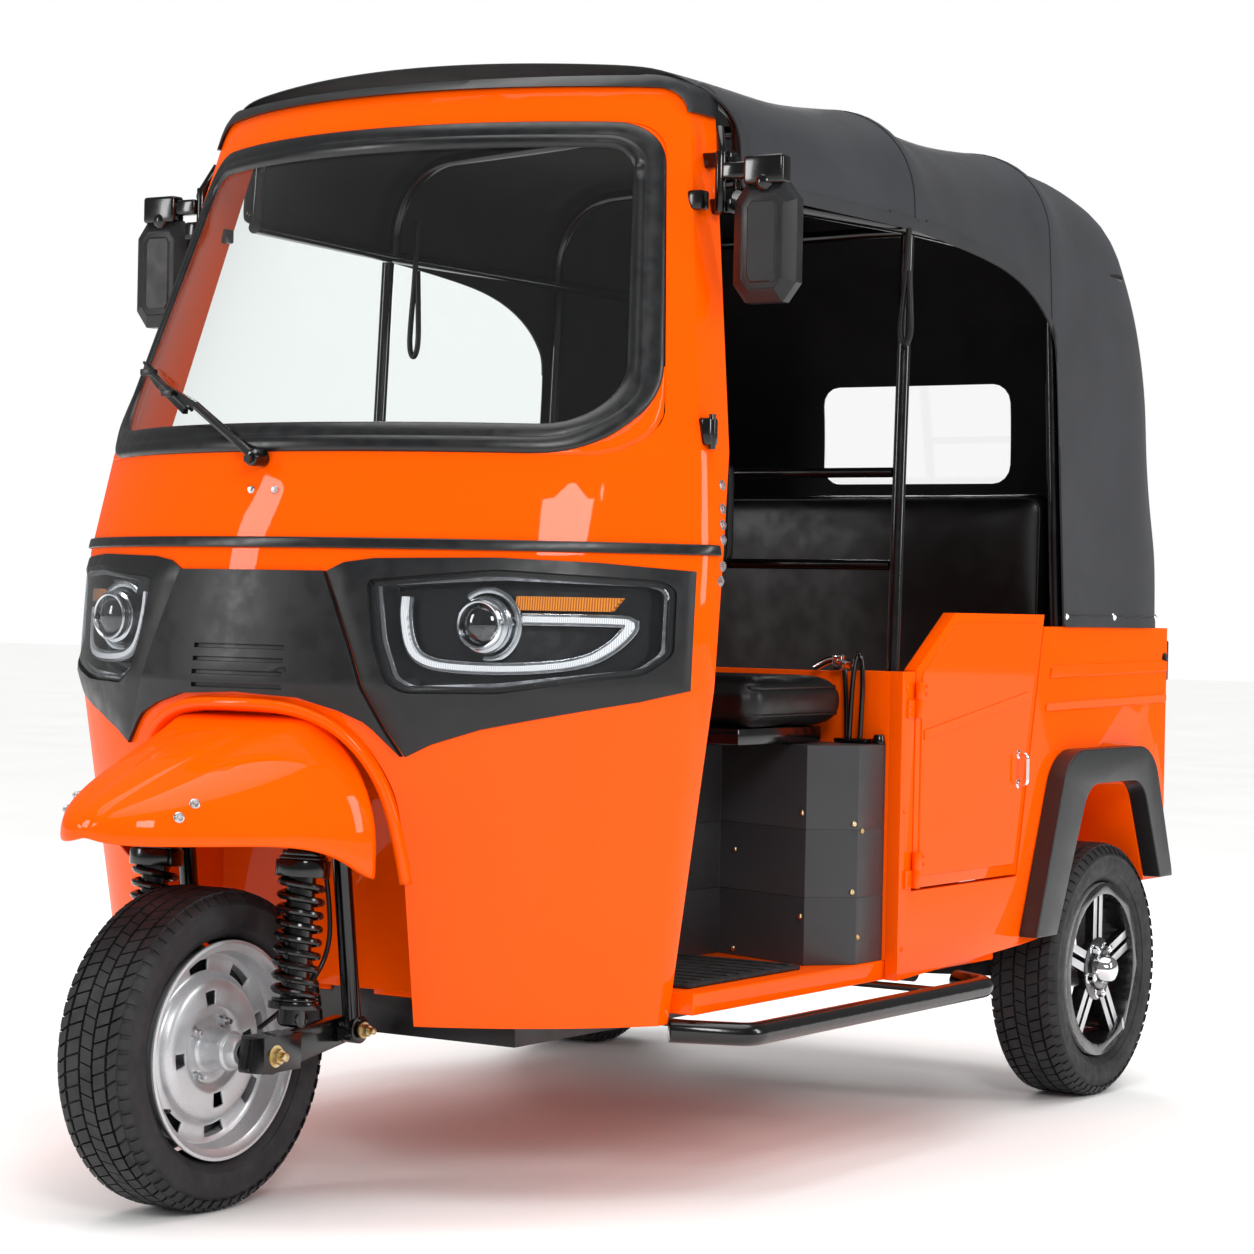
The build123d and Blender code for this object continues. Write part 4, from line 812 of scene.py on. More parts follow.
def front_wheel_rim():
    """Pressed steel wheel, welded from a rim and a slotted disc, on its drum hub."""
    centre = axle(0, 0, 0) + Vector((0, 0, TYRE_R))
    bm = bmesh.new()
    # outline of the rim from flange to flange: distance from the middle, radius
    rim = ((64, 166), (63.5, 171), (60, 171.5), (57, 167), (53, 160), (44, 157), (30, 156.5), (22, 146), (-22, 146),
           (-30, 156.5), (-44, 157), (-53, 160), (-57, 167), (-60, 171.5), (-63.5, 171), (-64, 166), (-59, 163),
           (-54, 154), (-44, 152.5), (-30, 152), (-20, 141), (20, 141), (30, 152), (44, 152.5), (54, 154),
           (59, 163))
    spin_profile(bm, [(x * MM, r * MM) for x, r in rim], centre, 96, close=True)
    piece(bm, "front_rim_barrel", "silver_enamel", "front_wheel", ("front_rim",), angle=50.0)

    bm = bmesh.new()
    # face of the disc: distance from the middle, radius
    disc = ((25, 149.5), (23, 144), (21.5, 140), (20.5, 131), (20.5, 122), (22, 117), (27, 113), (33, 110),
            (36.5, 106), (38, 101), (38.5, 92), (38.5, 80), (38.5, 70), (37.5, 66), (33, 61), (30, 57), (29, 52),
            (29, 34))
    spin_profile(bm, [(x * MM, r * MM) for x, r in disc], centre, 96)
    slots = [f for f in bm.faces if slot_here(f, centre, 140, 122, 8, 5) or slot_here(f, centre, 92, 70, 4, 4)]
    bmesh.ops.delete(bm, geom=slots, context="FACES")
    obj = piece(bm, "front_rim_disc", "silver_enamel", "front_wheel", (), angle=40)
    walled(obj, -4, 0.0)
    edge = obj.modifiers.new("edge", "BEVEL")
    edge.width, edge.segments, edge.limit_method = 1.0 * MM, 2, "ANGLE"
    edge.angle_limit = math.radians(50)

    bm = bmesh.new()
    drum = ((-62, 20), (-62, 92), (-58, 96), (-8, 96), (-4, 92), (-2, 60), (18, 46), (29, 42), (32, 34), (36, 31),
            (62, 29), (66, 31), (76, 31), (79, 27), (92, 25), (97, 22), (97, 13))
    spin_profile(bm, [(x * MM, r * MM) for x, r in drum], centre, 64, close=True)
    piece(bm, "front_hub", "silver_enamel", "front_wheel", (), 1.0)
    bm = bmesh.new()
    spin_profile(bm, [(x * MM, r * MM) for x, r in ((6, 90), (6, 140), (2, 140), (2, 90))], centre, 64, close=True)
    piece(bm, "front_drum_shield", "chassis_black", "front_wheel", (), 0.8)

    bm = bmesh.new()
    for i in range(4):
        spot = centre + Matrix.Rotation(math.tau * (i + 0.6) / 4, 3, "X") @ Vector((28 * MM, 0, 50 * MM))
        bolt(bm, spot, (1, 0, 0), 8 * MM, 12 * MM, 1.35)
        cylinder(bm, spot, spot + Vector((20 * MM, 0, 0)), 4.5 * MM, 12)
    piece(bm, "front_wheel_nuts", "zinc", "front_wheel", (), 0.8)
    bm = bmesh.new()
    valve = centre + Matrix.Rotation(2.2, 3, "X") @ Vector((26 * MM, 0, 143 * MM))
    cylinder(bm, valve, valve + Vector((30 * MM, -6 * MM, 4 * MM)), 4 * MM, 12, 3 * MM)
    piece(bm, "front_valve", "seal_rubber", "front_wheel", (), 0.5)


DISC_STEPS = 96


def slot_here(face, centre, r_out, r_in, count, columns):
    """Whether a face of a disc turned in steps lies in one of count holes that are columns wide."""
    offset = face.calc_center_median() - centre
    r = math.hypot(offset.y, offset.z) / MM
    column = int(math.atan2(offset.z, offset.y) % math.tau / math.tau * DISC_STEPS)
    return r_in < r < r_out and column % (DISC_STEPS // count) < columns


def rear_wheel_rim(name, side, body):
    """Cast alloy wheel: turned spoke faces, black between them, chromed cap and nuts."""
    node = "rear_rim_" + name
    bm = cad_bmesh(node)
    for f in bm.faces:
        centre = f.calc_center_median()
        radius = math.hypot(centre.y - REAR_AXLE_Y, centre.z - TYRE_R)
        faced = f.normal.x * side > 0.8 and radius > 64 * MM
        f.material_index = 0 if faced or radius > 150 * MM and f.normal.x * side > -0.1 else 1
    piece(bm, node + "_finished", ("machined_alloy", "wheel_black"), body, (node,), 1.6, recalc=False)
    face_x = side * (TRACK / 2 + 58 * MM)
    hub = Vector((face_x, REAR_AXLE_Y, TYRE_R))
    out = Vector((side, 0, 0))
    bm = bmesh.new()
    cap = ((-8, 30), (10, 29), (15, 26), (24, 24), (30, 19), (33, 10), (34, 0.01))
    spin_profile(bm, [(x * side * MM, r * MM) for x, r in cap], hub, 48)
    for i in range(5):
        turn = Matrix.Rotation(math.tau * (i + 0.5) / 5, 3, "X")
        spot = hub + turn @ Vector((0, 0, 47 * MM)) - out * 10 * MM
        bolt(bm, spot, out, 9.5 * MM, 17 * MM, 1.25)
        dome(bm, spot + out * 17 * MM, out, 8 * MM, 5 * MM, 12)
    piece(bm, "rear_hub_cap_" + name, "chrome", body, (), 0.6)


def make_wheels():
    """Three tyres, the pressed front rim and the two spoked rear ones."""
    tyre("front_tyre", "front_wheel", Vector((0, AXLE_Y, TYRE_R)))
    front_wheel_rim()
    for name, side in SIDES.items():
        body = "rear_wheel_" + name
        tyre("rear_tyre_" + name, body, Vector((side * TRACK / 2, REAR_AXLE_Y, TYRE_R)))
        rear_wheel_rim(name, side, body)


# ------------------------------------------------------------------ cowl, fascia and lamps
# outlines in the front view, millimetres: x, z
LAMP = ((229, 984), (245, 893), (269, 832), (296, 816), (420, 822), (581, 848), (608, 878), (608, 980), (590, 991),
        (408, 998))
SURROUND = ((149, 1000), (177, 1014), (225, 1021), (405, 1025), (529, 1020), (632, 1010), (632, 822), (581, 804),
            (491, 782), (390, 757), (321, 732), (284, 712), (259, 753), (228, 815), (204, 877))
CENTRE = ((146, 1000), (167, 954), (201, 877), (225, 815), (256, 753), (280, 712), (241, 753), (226, 765),
          (186, 782), (119, 800), (0, 806))


LOUVRES = (878, 857, 836, 815)
LOUVRE_HALF, LOUVRE_HIGH = 92, 3.5      # half width and half height
SURROUND_EDGE = 26                      # width over which a surround swells


def outline_face(bm, points, y=0.0, round_mm=0.0, segments=4):
    """Flat face in the front view with its corners rounded."""
    verts = [bm.verts.new((x * MM, y, z * MM)) for x, z in points]
    bm.faces.new(verts)
    if round_mm:
        bevelled(bm, verts, round_mm, segments, "VERTICES")


def slice_up(bm, step_mm=18.0):
    """Cuts a flat shape into small faces, so that it can be bent."""
    for axis, normal in ((0, (1, 0, 0)), (2, (0, 0, 1))):
        low = min(v.co[axis] for v in bm.verts)
        high = max(v.co[axis] for v in bm.verts)
        place = low + step_mm * MM
        while place < high - step_mm * MM * 0.3:
            point = [0.0, 0.0, 0.0]
            point[axis] = place
            slice_at(bm, point, normal)
            place += step_mm * MM


def draw_in(points, gap):
    """Outline moved towards its middle."""
    cx = sum(p[0] for p in points) / len(points)
    cz = sum(p[1] for p in points) / len(points)
    out = []
    for x, z in points:
        reach = math.hypot(x - cx, z - cz)
        out.append((cx + (x - cx) * (1 - gap / reach), cz + (z - cz) * (1 - gap / reach)))
    return out


def cutter(points, y0, y1, round_mm=0.0, mirror_too=False):
    """Hidden block that cuts an outline out of another piece; returned as an object, removed after use."""
    bm = bmesh.new()
    outline_face(bm, points, y0, round_mm)
    draw_out(bm, bm.faces[:], (0, y1 - y0, 0))
    if mirror_too:
        mirrored(bm)
    bmesh.ops.recalc_face_normals(bm, faces=bm.faces)
    mesh = bpy.data.meshes.new("cutter")
    bm.to_mesh(mesh)
    bm.free()
    obj = bpy.data.objects.new("cutter", mesh)
    bpy.context.scene.collection.objects.link(obj)
    return obj


def cut(obj, tool):
    """Boolean difference, applied at once ahead of the other modifiers."""
    boolean = obj.modifiers.new("cut", "BOOLEAN")
    boolean.object, boolean.operation, boolean.solver = tool, "DIFFERENCE", "EXACT"
    shown = [m.show_viewport for m in obj.modifiers]
    for m in obj.modifiers:
        m.show_viewport = m == boolean
    mesh = bpy.data.meshes.new_from_object(obj.evaluated_get(bpy.context.evaluated_depsgraph_get()))
    obj.modifiers.remove(boolean)
    for m, on in zip(obj.modifiers, shown):
        m.show_viewport = on
    obj.data = mesh
    bpy.data.objects.remove(tool)


def make_cowl():
    """Painted front shell with its lamp openings cut through, and the small things fixed to it."""
    bm = cad_bmesh("front_cowl")
    shell = piece(bm, "front_shell", "orange_enamel", "body", ("front_cowl",), 3.0, 3,
                  recalc=False)
    cut(shell, cutter(draw_in(LAMP, -13), -1.5, 0.2, 16.0, True))
    smooth(shell, 180)

    skin = Skin("front_cowl")
    bm = cad_bmesh("front_trim_strip")
    piece(bm, "cowl_trim", "seal_rubber", "body", ("front_trim_strip",), 2.5, 3, recalc=False)
    bm = bmesh.new()
    for x in (-16, 32):
        spot, normal = skin.ahead(x, 1128)
        dome(bm, spot, normal, 7 * MM, 4 * MM)
        bolt(bm, spot + normal * 3 * MM, normal, 3.6 * MM, 3 * MM, 1.2)
    piece(bm, "cowl_bolts", "zinc", "body", (), 0.3)

    for side_name, side in SIDES.items():
        bm = bmesh.new()
        for z in (1150, 1112, 1086, 1062, 1020, 996):
            spot, normal = skin.beside(480 + (z - 900) * 0.22, z, side)
            if spot is not None:
                bolt(bm, spot, normal, 5 * MM, 5 * MM, 1.7)
        piece(bm, "pillar_bolts_" + side_name, "zinc", "body", (), 0.4)


def make_fascia():
    """Grained black centre panel with louvres, and the two lamp surrounds."""
    skin = Skin("front_cowl")
    outline = list(CENTRE) + [(-x, z) for x, z in reversed(CENTRE[:-1])]
    bm = bmesh.new()
    outline_face(bm, outline, 0.0)
    slice_up(bm, 16.0)
    for z in LOUVRES:
        for edge_z in (z - LOUVRE_HIGH, z + LOUVRE_HIGH):
            slice_at(bm, (0, 0, edge_z * MM), (0, 0, 1))
    for x in (-LOUVRE_HALF, LOUVRE_HALF):
        slice_at(bm, (x * MM, 0, 0), (1, 0, 0))
    ribs = [f for f in bm.faces
            if any(abs(f.calc_center_median().z / MM - z) < LOUVRE_HIGH for z in LOUVRES)
            and abs(f.calc_center_median().x) < LOUVRE_HALF * MM]
    drape(bm, skin)
    for v in bm.verts:
        v.co.y -= 10 * MM
    draw_out(bm, ribs, (0, 6 * MM, 0))
    bmesh.ops.delete(bm, geom=[f for f in ribs if f.is_valid], context="FACES_ONLY")
    rim = bmesh.ops.extrude_edge_only(bm, edges=[e for e in bm.edges if e.is_boundary])["geom"]
    bmesh.ops.translate(bm, verts=verts_in(rim), vec=(0, 9.6 * MM, 0))
    piece(bm, "fascia_centre", "moulded_black", "body", ("centre_fascia",), 2.2, 3, angle=40)

    for name, side in SIDES.items():
        bm = bmesh.new()
        outline_face(bm, SURROUND, 0.0)
        slice_up(bm, 14.0)
        drape(bm, skin)
        for v in bm.verts:
            share = inside_by(v.co.x / MM, v.co.z / MM, SURROUND) / SURROUND_EDGE
            v.co.y -= (4 + 7 * min(1.0, max(0.0, share))) * MM
        draw_out(bm, bm.faces[:], (0, 12 * MM, 0))
        if side == RIGHT:
            flip_x(bm)
        replaced = ("lamp_surrounds",) if side == LEFT else ()
        panel = piece(bm, "lamp_surround_" + name, "moulded_black", "body", replaced, 1.6, 2,
                      angle=50)
        grown = [(side * x, z) for x, z in draw_in(LAMP, -9)]
        cut(panel, cutter(grown, -1.5, 0.2, 20.0))
        smooth(panel, 180)


def inside_by(x, z, outline):
    """Distance from a point to the nearest edge of an outline."""
    best = 1e9
    for (ax, az), (bx, bz) in zip(outline, outline[1:] + outline[:1]):
        dx, dz = bx - ax, bz - az
        t = max(0.0, min(1.0, ((x - ax) * dx + (z - az) * dz) / (dx * dx + dz * dz)))
        best = min(best, math.hypot(ax + dx * t - x, az + dz * t - z))
    return best


def make_headlamps():
    """Two lamps: a dark bowl with a projector, a light guide and a turn lamp behind a clear lens."""
    skin = Skin("front_cowl")
    for name, side in SIDES.items():
        def place(bm):
            return flip_x(bm) if side == RIGHT else bm

        bm = bmesh.new()
        outline_face(bm, LAMP, 0.0, 10.0)
        slice_up(bm, 14.0)
        drape(bm, skin)
        for v in bm.verts:
            v.co.y -= 6.5 * MM
        draw_out(bm, bm.faces[:], (0, 3 * MM, 0))
        piece(place(bm), "lamp_lens_" + name, "lamp_lens", "body", ("headlamps",) if side == LEFT else (),
              1.2, 2, angle=50)

        # tray behind the lens: a wall round the opening and a floor
        bm = bmesh.new()
        outline_face(bm, draw_in(LAMP, -1), 0.0, 10.0)
        slice_up(bm, 14.0)
        drape(bm, skin)
        floor_verts = bm.verts[:]
        for v in floor_verts:
            v.co.y += 48 * MM
        walls = bmesh.ops.extrude_edge_only(bm, edges=[e for e in bm.edges if e.is_boundary])["geom"]
        for v in verts_in(walls):
            v.co.y -= 50 * MM
        middle = Vector((430 * MM, 0, 905 * MM))
        for v in floor_verts:
            v.co.x += (middle.x - v.co.x) * 0.05
            v.co.z += (middle.z - v.co.z) * 0.08
        piece(place(bm), "lamp_bowl_" + name, "lamp_bowl", "body", (), recalc=False)

        # bright bezel that follows the lens just inside it
        bm = frame_strip(LAMP, -14, 1, skin, -1, 14)
        piece(place(bm), "lamp_recess_" + name, "moulded_black", "body", (), 1.0, angle=40)
        bm = frame_strip(LAMP, 2, 8, skin, 3, 2)
        piece(place(bm), "lamp_bezel_" + name, "lamp_reflector", "body", (), 1.0, angle=40)

        # light guide: an open U that rises at the inner end and turns in at the outer end
        guide = ((268, 962), (268, 930), (280, 880), (306, 858), (360, 852), (440, 852), (510, 862), (545, 890),
                 (566, 928), (540, 930), (430, 930))
        bm = ribbon(guide, 9, skin, 14, 10)
        piece(place(bm), "light_guide_" + name, "light_guide", "body", (), 1.0, angle=40)
        bm = ribbon(guide, 19, skin, 20, 5)
        piece(place(bm), "light_guide_seat_" + name, "lamp_reflector", "body", (), 1.0, angle=40)

        bm = bmesh.new()
        outline_face(bm, ((425, 966), (552, 966), (540, 944), (425, 944)), 0.0, 2.0)
        slice_up(bm, 16.0)
        drape(bm, skin)
        draw_out(bm, bm.faces[:], (0, -10 * MM, 0))
        bmesh.ops.translate(bm, verts=bm.verts, vec=(0, 22 * MM, 0))
        piece(place(bm), "turn_lamp_" + name, "amber_lens", "body", (), 1.0, angle=40)

        spot, _ = skin.ahead(377, 920)
        ahead = Vector((0.12, -0.99, 0.0)).normalized()
        back = spot + Vector((0, 46 * MM, 0))
        profile = ((0, 47), (20, 45), (24, 44), (26, 38), (30, 37), (34, 40), (38, 40), (40, 37), (39, 34), (30, 33))
        bm = turned(profile, back, ahead)
        piece(place(bm), "projector_barrel_" + name, "lamp_reflector", "body", (), 0.6)
        bm = turned(((28, 34), (36, 28), (41, 18), (43, 8), (43.5, 0.01)), back, ahead)
        piece(place(bm), "projector_lens_" + name, "dark_glass", "body", ())
        bm = turned(((2, 56), (3, 60), (8, 60), (9, 56), (8, 50)), back, ahead)
        piece(place(bm), "projector_ring_" + name, "lamp_reflector", "body", (), 0.5)


def turned(profile, place, axis):
    """Piece turned on a lathe: (along the axis, radius) in millimetres from a place."""
    bm = bmesh.new()
    spin_profile(bm, [(x * MM, r * MM) for x, r in profile], Vector(), 48)
    axis = Vector(axis).normalized()
    turn = axis.to_track_quat("X", "Z").to_matrix().to_4x4()
    bmesh.ops.transform(bm, matrix=Matrix.Translation(place) @ turn, verts=bm.verts)
    return bm


def offset_line(points, width):
    """Both edges of a ribbon along points in the front view."""
    left, right = [], []
    for i, (x, z) in enumerate(points):
        ax, az = points[max(i - 1, 0)]
        bx, bz = points[min(i + 1, len(points) - 1)]
        run = math.hypot(bx - ax, bz - az)
        nx, nz = -(bz - az) / run, (bx - ax) / run
        left.append((x + nx * width / 2, z + nz * width / 2))
        right.append((x - nx * width / 2, z - nz * width / 2))
    return left, right


def softened(points):
    """Corner-cut copy of an open line."""
    for _ in range(2):
        out = [points[0]]
        for (ax, az), (bx, bz) in zip(points, points[1:]):
            out += [(ax * 0.75 + bx * 0.25, az * 0.75 + bz * 0.25), (ax * 0.25 + bx * 0.75, az * 0.25 + bz * 0.75)]
        points = out + [points[-1]]
    return points


def ribbon(points, width, skin, deep_mm, thick_mm):
    """Bar along a line in the front view, set behind a skin."""
    bm = bmesh.new()
    left, right = offset_line(softened(points), width)
    rows = [(bm.verts.new((a[0] * MM, 0, a[1] * MM)), bm.verts.new((b[0] * MM, 0, b[1] * MM)))
            for a, b in zip(left, right)]
    for (a, b), (c, d) in zip(rows, rows[1:]):
        bm.faces.new((a, c, d, b))
    drape(bm, skin)
    draw_out(bm, bm.faces[:], (0, thick_mm * MM, 0))
    bmesh.ops.translate(bm, verts=bm.verts, vec=(0, deep_mm * MM, 0))
    return bm


def frame_strip(outline, gap_out, gap_in, skin, deep_mm, thick_mm):
    """Flat frame between two insets of an outline, set behind a skin."""
    bm = bmesh.new()
    outline_face(bm, draw_in(outline, gap_out), 0.0, 10.0)
    bmesh.ops.inset_region(bm, faces=bm.faces[:], thickness=(gap_in - gap_out) * MM, use_boundary=True,
                           use_even_offset=True)
    middle = max(bm.faces, key=lambda f: f.calc_area())
    bmesh.ops.delete(bm, geom=[middle], context="FACES")
    slice_up(bm, 16.0)
    drape(bm, skin)
    draw_out(bm, bm.faces[:], (0, thick_mm * MM, 0))
    bmesh.ops.translate(bm, verts=bm.verts, vec=(0, deep_mm * MM, 0))
    return bm


# ------------------------------------------------------------------ front fender and fork
# sections of the beak, millimetres: y, half width, top, lower edge, corner radius, ridge height, ridge half width
BEAK = ((128, 250, 772, 520, 180, 0, 90), (100, 247, 768, 530, 178, 0, 80), (70, 236, 758, 552, 168, 3, 66),
        (20, 218, 741, 570, 148, 6, 48), (-50, 190, 714, 577, 120, 7, 38), (-120, 158, 687, 578, 92, 7, 30),
        (-185, 118, 660, 579, 62, 6, 24), (-232, 78, 640, 580, 40, 5, 18), (-256, 44, 622, 583, 22, 3, 12),
        (-261, 16, 606, 590, 8, 0, 5))
# outer edge of the rim round the wheel arch: x, z
ARCH_RIM = ((0, 797), (60, 797), (118, 792), (178, 771), (226, 729), (256, 672), (270, 610), (277, 555), (281, 512))
BEAK_BOLTS = ((-150, 644), (-178, 624))       # y, z on both flanks


def beak_row(y, half, top, edge, corner, ridge, ridge_half):
    """Points of one section from the crown down to the lower edge and its rolled lip."""
    points = [(0, top + ridge), (ridge_half, top + ridge * 0.75), (ridge_half * 1.35, top - ridge * 0.2 - 0.5)]
    start = half - corner
    if start > ridge_half * 1.5:
        points.append((start, top - 2))
    else:
        points.append((ridge_half * 1.5 + (half - ridge_half * 1.5) * 0.12, top - 3))
    for turn in (28, 56, 84):
        a = math.radians(turn)
        points.append((start + corner * math.sin(a), top - corner * (1 - math.cos(a))))
    low = points[-1][1]
    points += [(half, (low + edge) / 2), (half, edge + 5), (half - 3, edge), (half - 12, edge + 1)]
    return [(x, y, z) for x, z in points]


def make_fender():
    """Painted beak over the front wheel with its raised rim, two bolts and the inner arch."""
    rows = []
    for row in BEAK:
        half = beak_row(*row)
        rows.append([axle(-x, y, z) for x, y, z in reversed(half[1:])] + [axle(*p) for p in half])
    bm = bmesh.new()
    line = net(bm, rows)
    tip = [bm.edges.get(pair) for pair in zip(line, line[1:])]
    bmesh.ops.contextual_create(bm, geom=tip + [bm.edges.new((line[0], line[-1]))])
    beak = piece(bm, "fender_beak", "orange_enamel", "body", ("front_fender",), subdiv=2)
    walled(beak, 3)

    skin = Skin("front_cowl")
    bm = bmesh.new()
    outline = [(-x, z) for x, z in reversed(ARCH_RIM[1:])] + list(ARCH_RIM)
    loops = []
    for i, (x, z) in enumerate(outline):
        ax, az = outline[max(i - 1, 0)]
        bx, bz = outline[min(i + 1, len(outline) - 1)]
        run = math.hypot(bx - ax, bz - az)
        nx, nz = (bz - az) / run, -(bx - ax) / run
        hit, _ = skin.ahead(x * 1.04, z + 12 if z > 700 else z)
        y = (hit.y - AXLE_Y) / MM
        section = ((0, 2), (0, -12), (5, -18), (16, -18), (22, -10), (23, 26))
        loops.append([axle(x + nx * inward, y + back, z + nz * inward) for inward, back in section])
    previous = None
    for points in loops:
        ring = [bm.verts.new(p) for p in points]
        if previous:
            for a, b, c, d in zip(previous, previous[1:], ring[1:], ring):
                bm.faces.new((a, b, c, d))
        previous = ring
    rim = piece(bm, "arch_rim", "orange_enamel", "body", (), subdiv=2)
    walled(rim, 2.5)

    tree = BVHTree.FromObject(beak, bpy.context.evaluated_depsgraph_get())
    bm = bmesh.new()
    for y, z in BEAK_BOLTS:
        for side in (-1, 1):
            hit, normal, _, _ = tree.ray_cast(axle(side * 500, y, z), Vector((-side, 0, 0)))
            dome(bm, hit, normal, 9 * MM, 3 * MM)
            bolt(bm, hit + normal * 1.5 * MM, normal, 5 * MM, 5 * MM, 1.3)
    piece(bm, "fender_bolts", "zinc", "body", (), 0.5)
    dressed("wheel_housing", "orange_enamel", 2.0)


SHOCK_X = 150
SHOCK_FOOT = (54, 300)
SHOCK_HEAD = (78, 592)
COILS = 9
WIRE_R = 6.0
COIL_R = 32.0


def make_fork():
    """Fork, links and the two coil-over dampers that carry the front wheel."""
    dressed("fork", "gloss_black", 2.0, body="steering")
    dressed("front_links", "gloss_black", 2.5, body="steering")
    bm = bmesh.new()
    for side in (-1, 1):
        for y, r, out in ((0, 13, 160), (195, 10, 180)):
            z = 251 if y == 0 else 273
            spot = axle(side * out, y, z)
            bolt(bm, spot, (side, 0, 0), r * MM, 14 * MM, 1.35)
            cylinder(bm, spot + Vector((side * 12 * MM, 0, 0)), spot + Vector((side * 24 * MM, 0, 0)),
                     r * 0.55 * MM, 14, bevel_mm=0.8)
    piece(bm, "axle_nuts", "yellow_zinc", "steering", (), 0.6)

    coil = bmesh.new()
    rod = bmesh.new()
    cups = bmesh.new()
    for side in (-1, 1):
        foot = axle(side * SHOCK_X, *SHOCK_FOOT)
        head = axle(side * SHOCK_X, *SHOCK_HEAD)
        up = (head - foot).normalized()
        length = (head - foot).length
        across = up.cross(Vector((1, 0, 0))).normalized()
        sideways = across.cross(up)
        points = []
        steps = COILS * 14
        for i in range(steps + 1):
            t = i / steps
            a = math.tau * COILS * t
            points.append(foot + up * (0.12 + 0.64 * t) * length
                          + (across * math.cos(a) + sideways * math.sin(a)) * COIL_R * MM)
        merge(coil, tube_along(points, WIRE_R * MM, resolution=3, bend=False))
        cylinder(rod, foot + up * 0.74 * length, foot + up * 0.985 * length, 15 * MM, 32, bevel_mm=1.0)
        cylinder(cups, foot - up * 0.02 * length, foot + up * 0.76 * length, 22 * MM, 32)
        cylinder(cups, foot + Vector((-20 * MM, 0, 4 * MM)), foot + Vector((20 * MM, 0, 4 * MM)), 15 * MM, 24,
                 bevel_mm=2.0)
        stack = ((0.06, 0.1, 40), (0.1, 0.12, 35), (0.76, 0.85, 43), (0.85, 0.87, 38), (0.87, 0.9, 34),
                 (0.95, 0.995, 26))
        for low, high, r in stack:
            cylinder(cups, foot + up * low * length, foot + up * high * length, r * MM, 32, bevel_mm=1.6)
        for i in range(5):
            t = 0.9 + i * 0.015
            cylinder(cups, foot + up * t * length, foot + up * (t + 0.009) * length, 26 * MM, 28, bevel_mm=1.2)
    piece(coil, "shock_coils", "gloss_black", "steering", ("front_shocks",))
    piece(rod, "shock_tubes", "zinc", "steering", (), angle=40)
    piece(cups, "shock_cups", "gloss_black", "steering", (), angle=40)
    bm = bmesh.new()
    cable = [axle(120, 150, 600), axle(128, 175, 470), axle(112, 190, 380), axle(104, 120, 320), axle(96, 40, 285)]
    merge(bm, tube_along(cable, 4 * MM, resolution=4))
    piece(bm, "brake_hose", "seal_rubber", "steering", ())


# ------------------------------------------------------------------ windscreen, wiper and mirrors
# windscreen opening in the front view: half width and height of its lower and upper corners
SCREEN_LOW = (577.0, 1194.0)
SCREEN_HIGH = (472.0, 1745.0)
SCREEN_R = 62.0
SEAL_SPAN = 44.0
SEAL_PROUD = 7.0
GLASS_IN = 4.0
CORNER_LOW, CORNER_HIGH = 118.0, 80.0
VISOR_HALF = 0.505
VISOR_DROP = 31.0


def screen_corners(inset):
    """Corners of the opening drawn in by a distance, from the lower one on the vehicle's left side."""
    lean = (SCREEN_LOW[0] - SCREEN_HIGH[0]) / (SCREEN_HIGH[1] - SCREEN_LOW[1])
    slant = inset * math.hypot(1, lean)
    low = (SCREEN_LOW[0] - lean * inset - slant, SCREEN_LOW[1] + inset)
    high = (SCREEN_HIGH[0] + lean * inset - slant, SCREEN_HIGH[1] - inset)
    return [Vector(p) for p in (low, high, (-high[0], high[1]), (-low[0], low[1]))]


def corner_arc(corners, i, radius, steps=9):
    """Points of the arc that rounds one corner, and its centre."""
    here = corners[i]
    back, ahead = ((corners[(i + k) % 4] - here).normalized() for k in (-1, 1))
    half = back.angle(ahead) / 2
    centre = here + (back + ahead).normalized() * radius / math.sin(half)
    first = here + back * radius / math.tan(half) - centre
    last = here + ahead * radius / math.tan(half) - centre
    sweep = math.atan2(first.x * last.y - first.y * last.x, first.dot(last))
    return [centre + Matrix.Rotation(sweep * k / steps, 2) @ first for k in range(steps + 1)], centre


def screen_loop(inset, low, high):
    """Closed outline of the opening with its corners rounded: x, z."""
    corners = screen_corners(inset)
    arcs = [corner_arc(corners, i, low if i in (0, 3) else high)[0] for i in range(4)]
    points = []
    for i, arc in enumerate(arcs):
        points += arc
        onward = arcs[(i + 1) % 4][0]
        count = 20 if i % 2 == 0 else 34
        points += [arc[-1].lerp(onward, k / count) for k in range(1, count)]
    return points


class ScreenSkin:
    """Painted surface carried on over the windscreen opening."""

    def __init__(self):
        self.seal, self.pane = Skin("windscreen_seal"), Skin("windscreen")

    def at(self, x, z, proud=0.0):
        for skin, lift in ((self.seal, SEAL_PROUD), (self.pane, -GLASS_IN)):
            hit, normal = skin.ahead(x, z)
            if hit is not None and normal.y < -0.3:
                return hit + normal * (proud - lift) * MM
        middle = Vector((0, 1470))
        pulled = Vector((x, z)) + (middle - Vector((x, z))).normalized() * 4
        hit, normal = self.seal.ahead(*pulled)
        if hit is None or normal.y > -0.3:
            pulled = Vector((x, z)) + (middle - Vector((x, z))).normalized() * 10
            hit, normal = self.seal.ahead(*pulled)
        if hit is None:
            hit, normal = self.pane.ahead(*pulled)
        step = Vector(((x - pulled.x) * MM, 0, (z - pulled.y) * MM))
        rise = -(normal.x * step.x + normal.z * step.z) / normal.y
        return hit + step + Vector((0, rise, 0)) + normal * (proud - SEAL_PROUD) * MM


def ring_loop(bm, points):
    """Closed ring of edges."""
    verts = [bm.verts.new(p) for p in points]
    return [bm.edges.new((a, b)) for a, b in zip(verts, verts[1:] + verts[:1])]


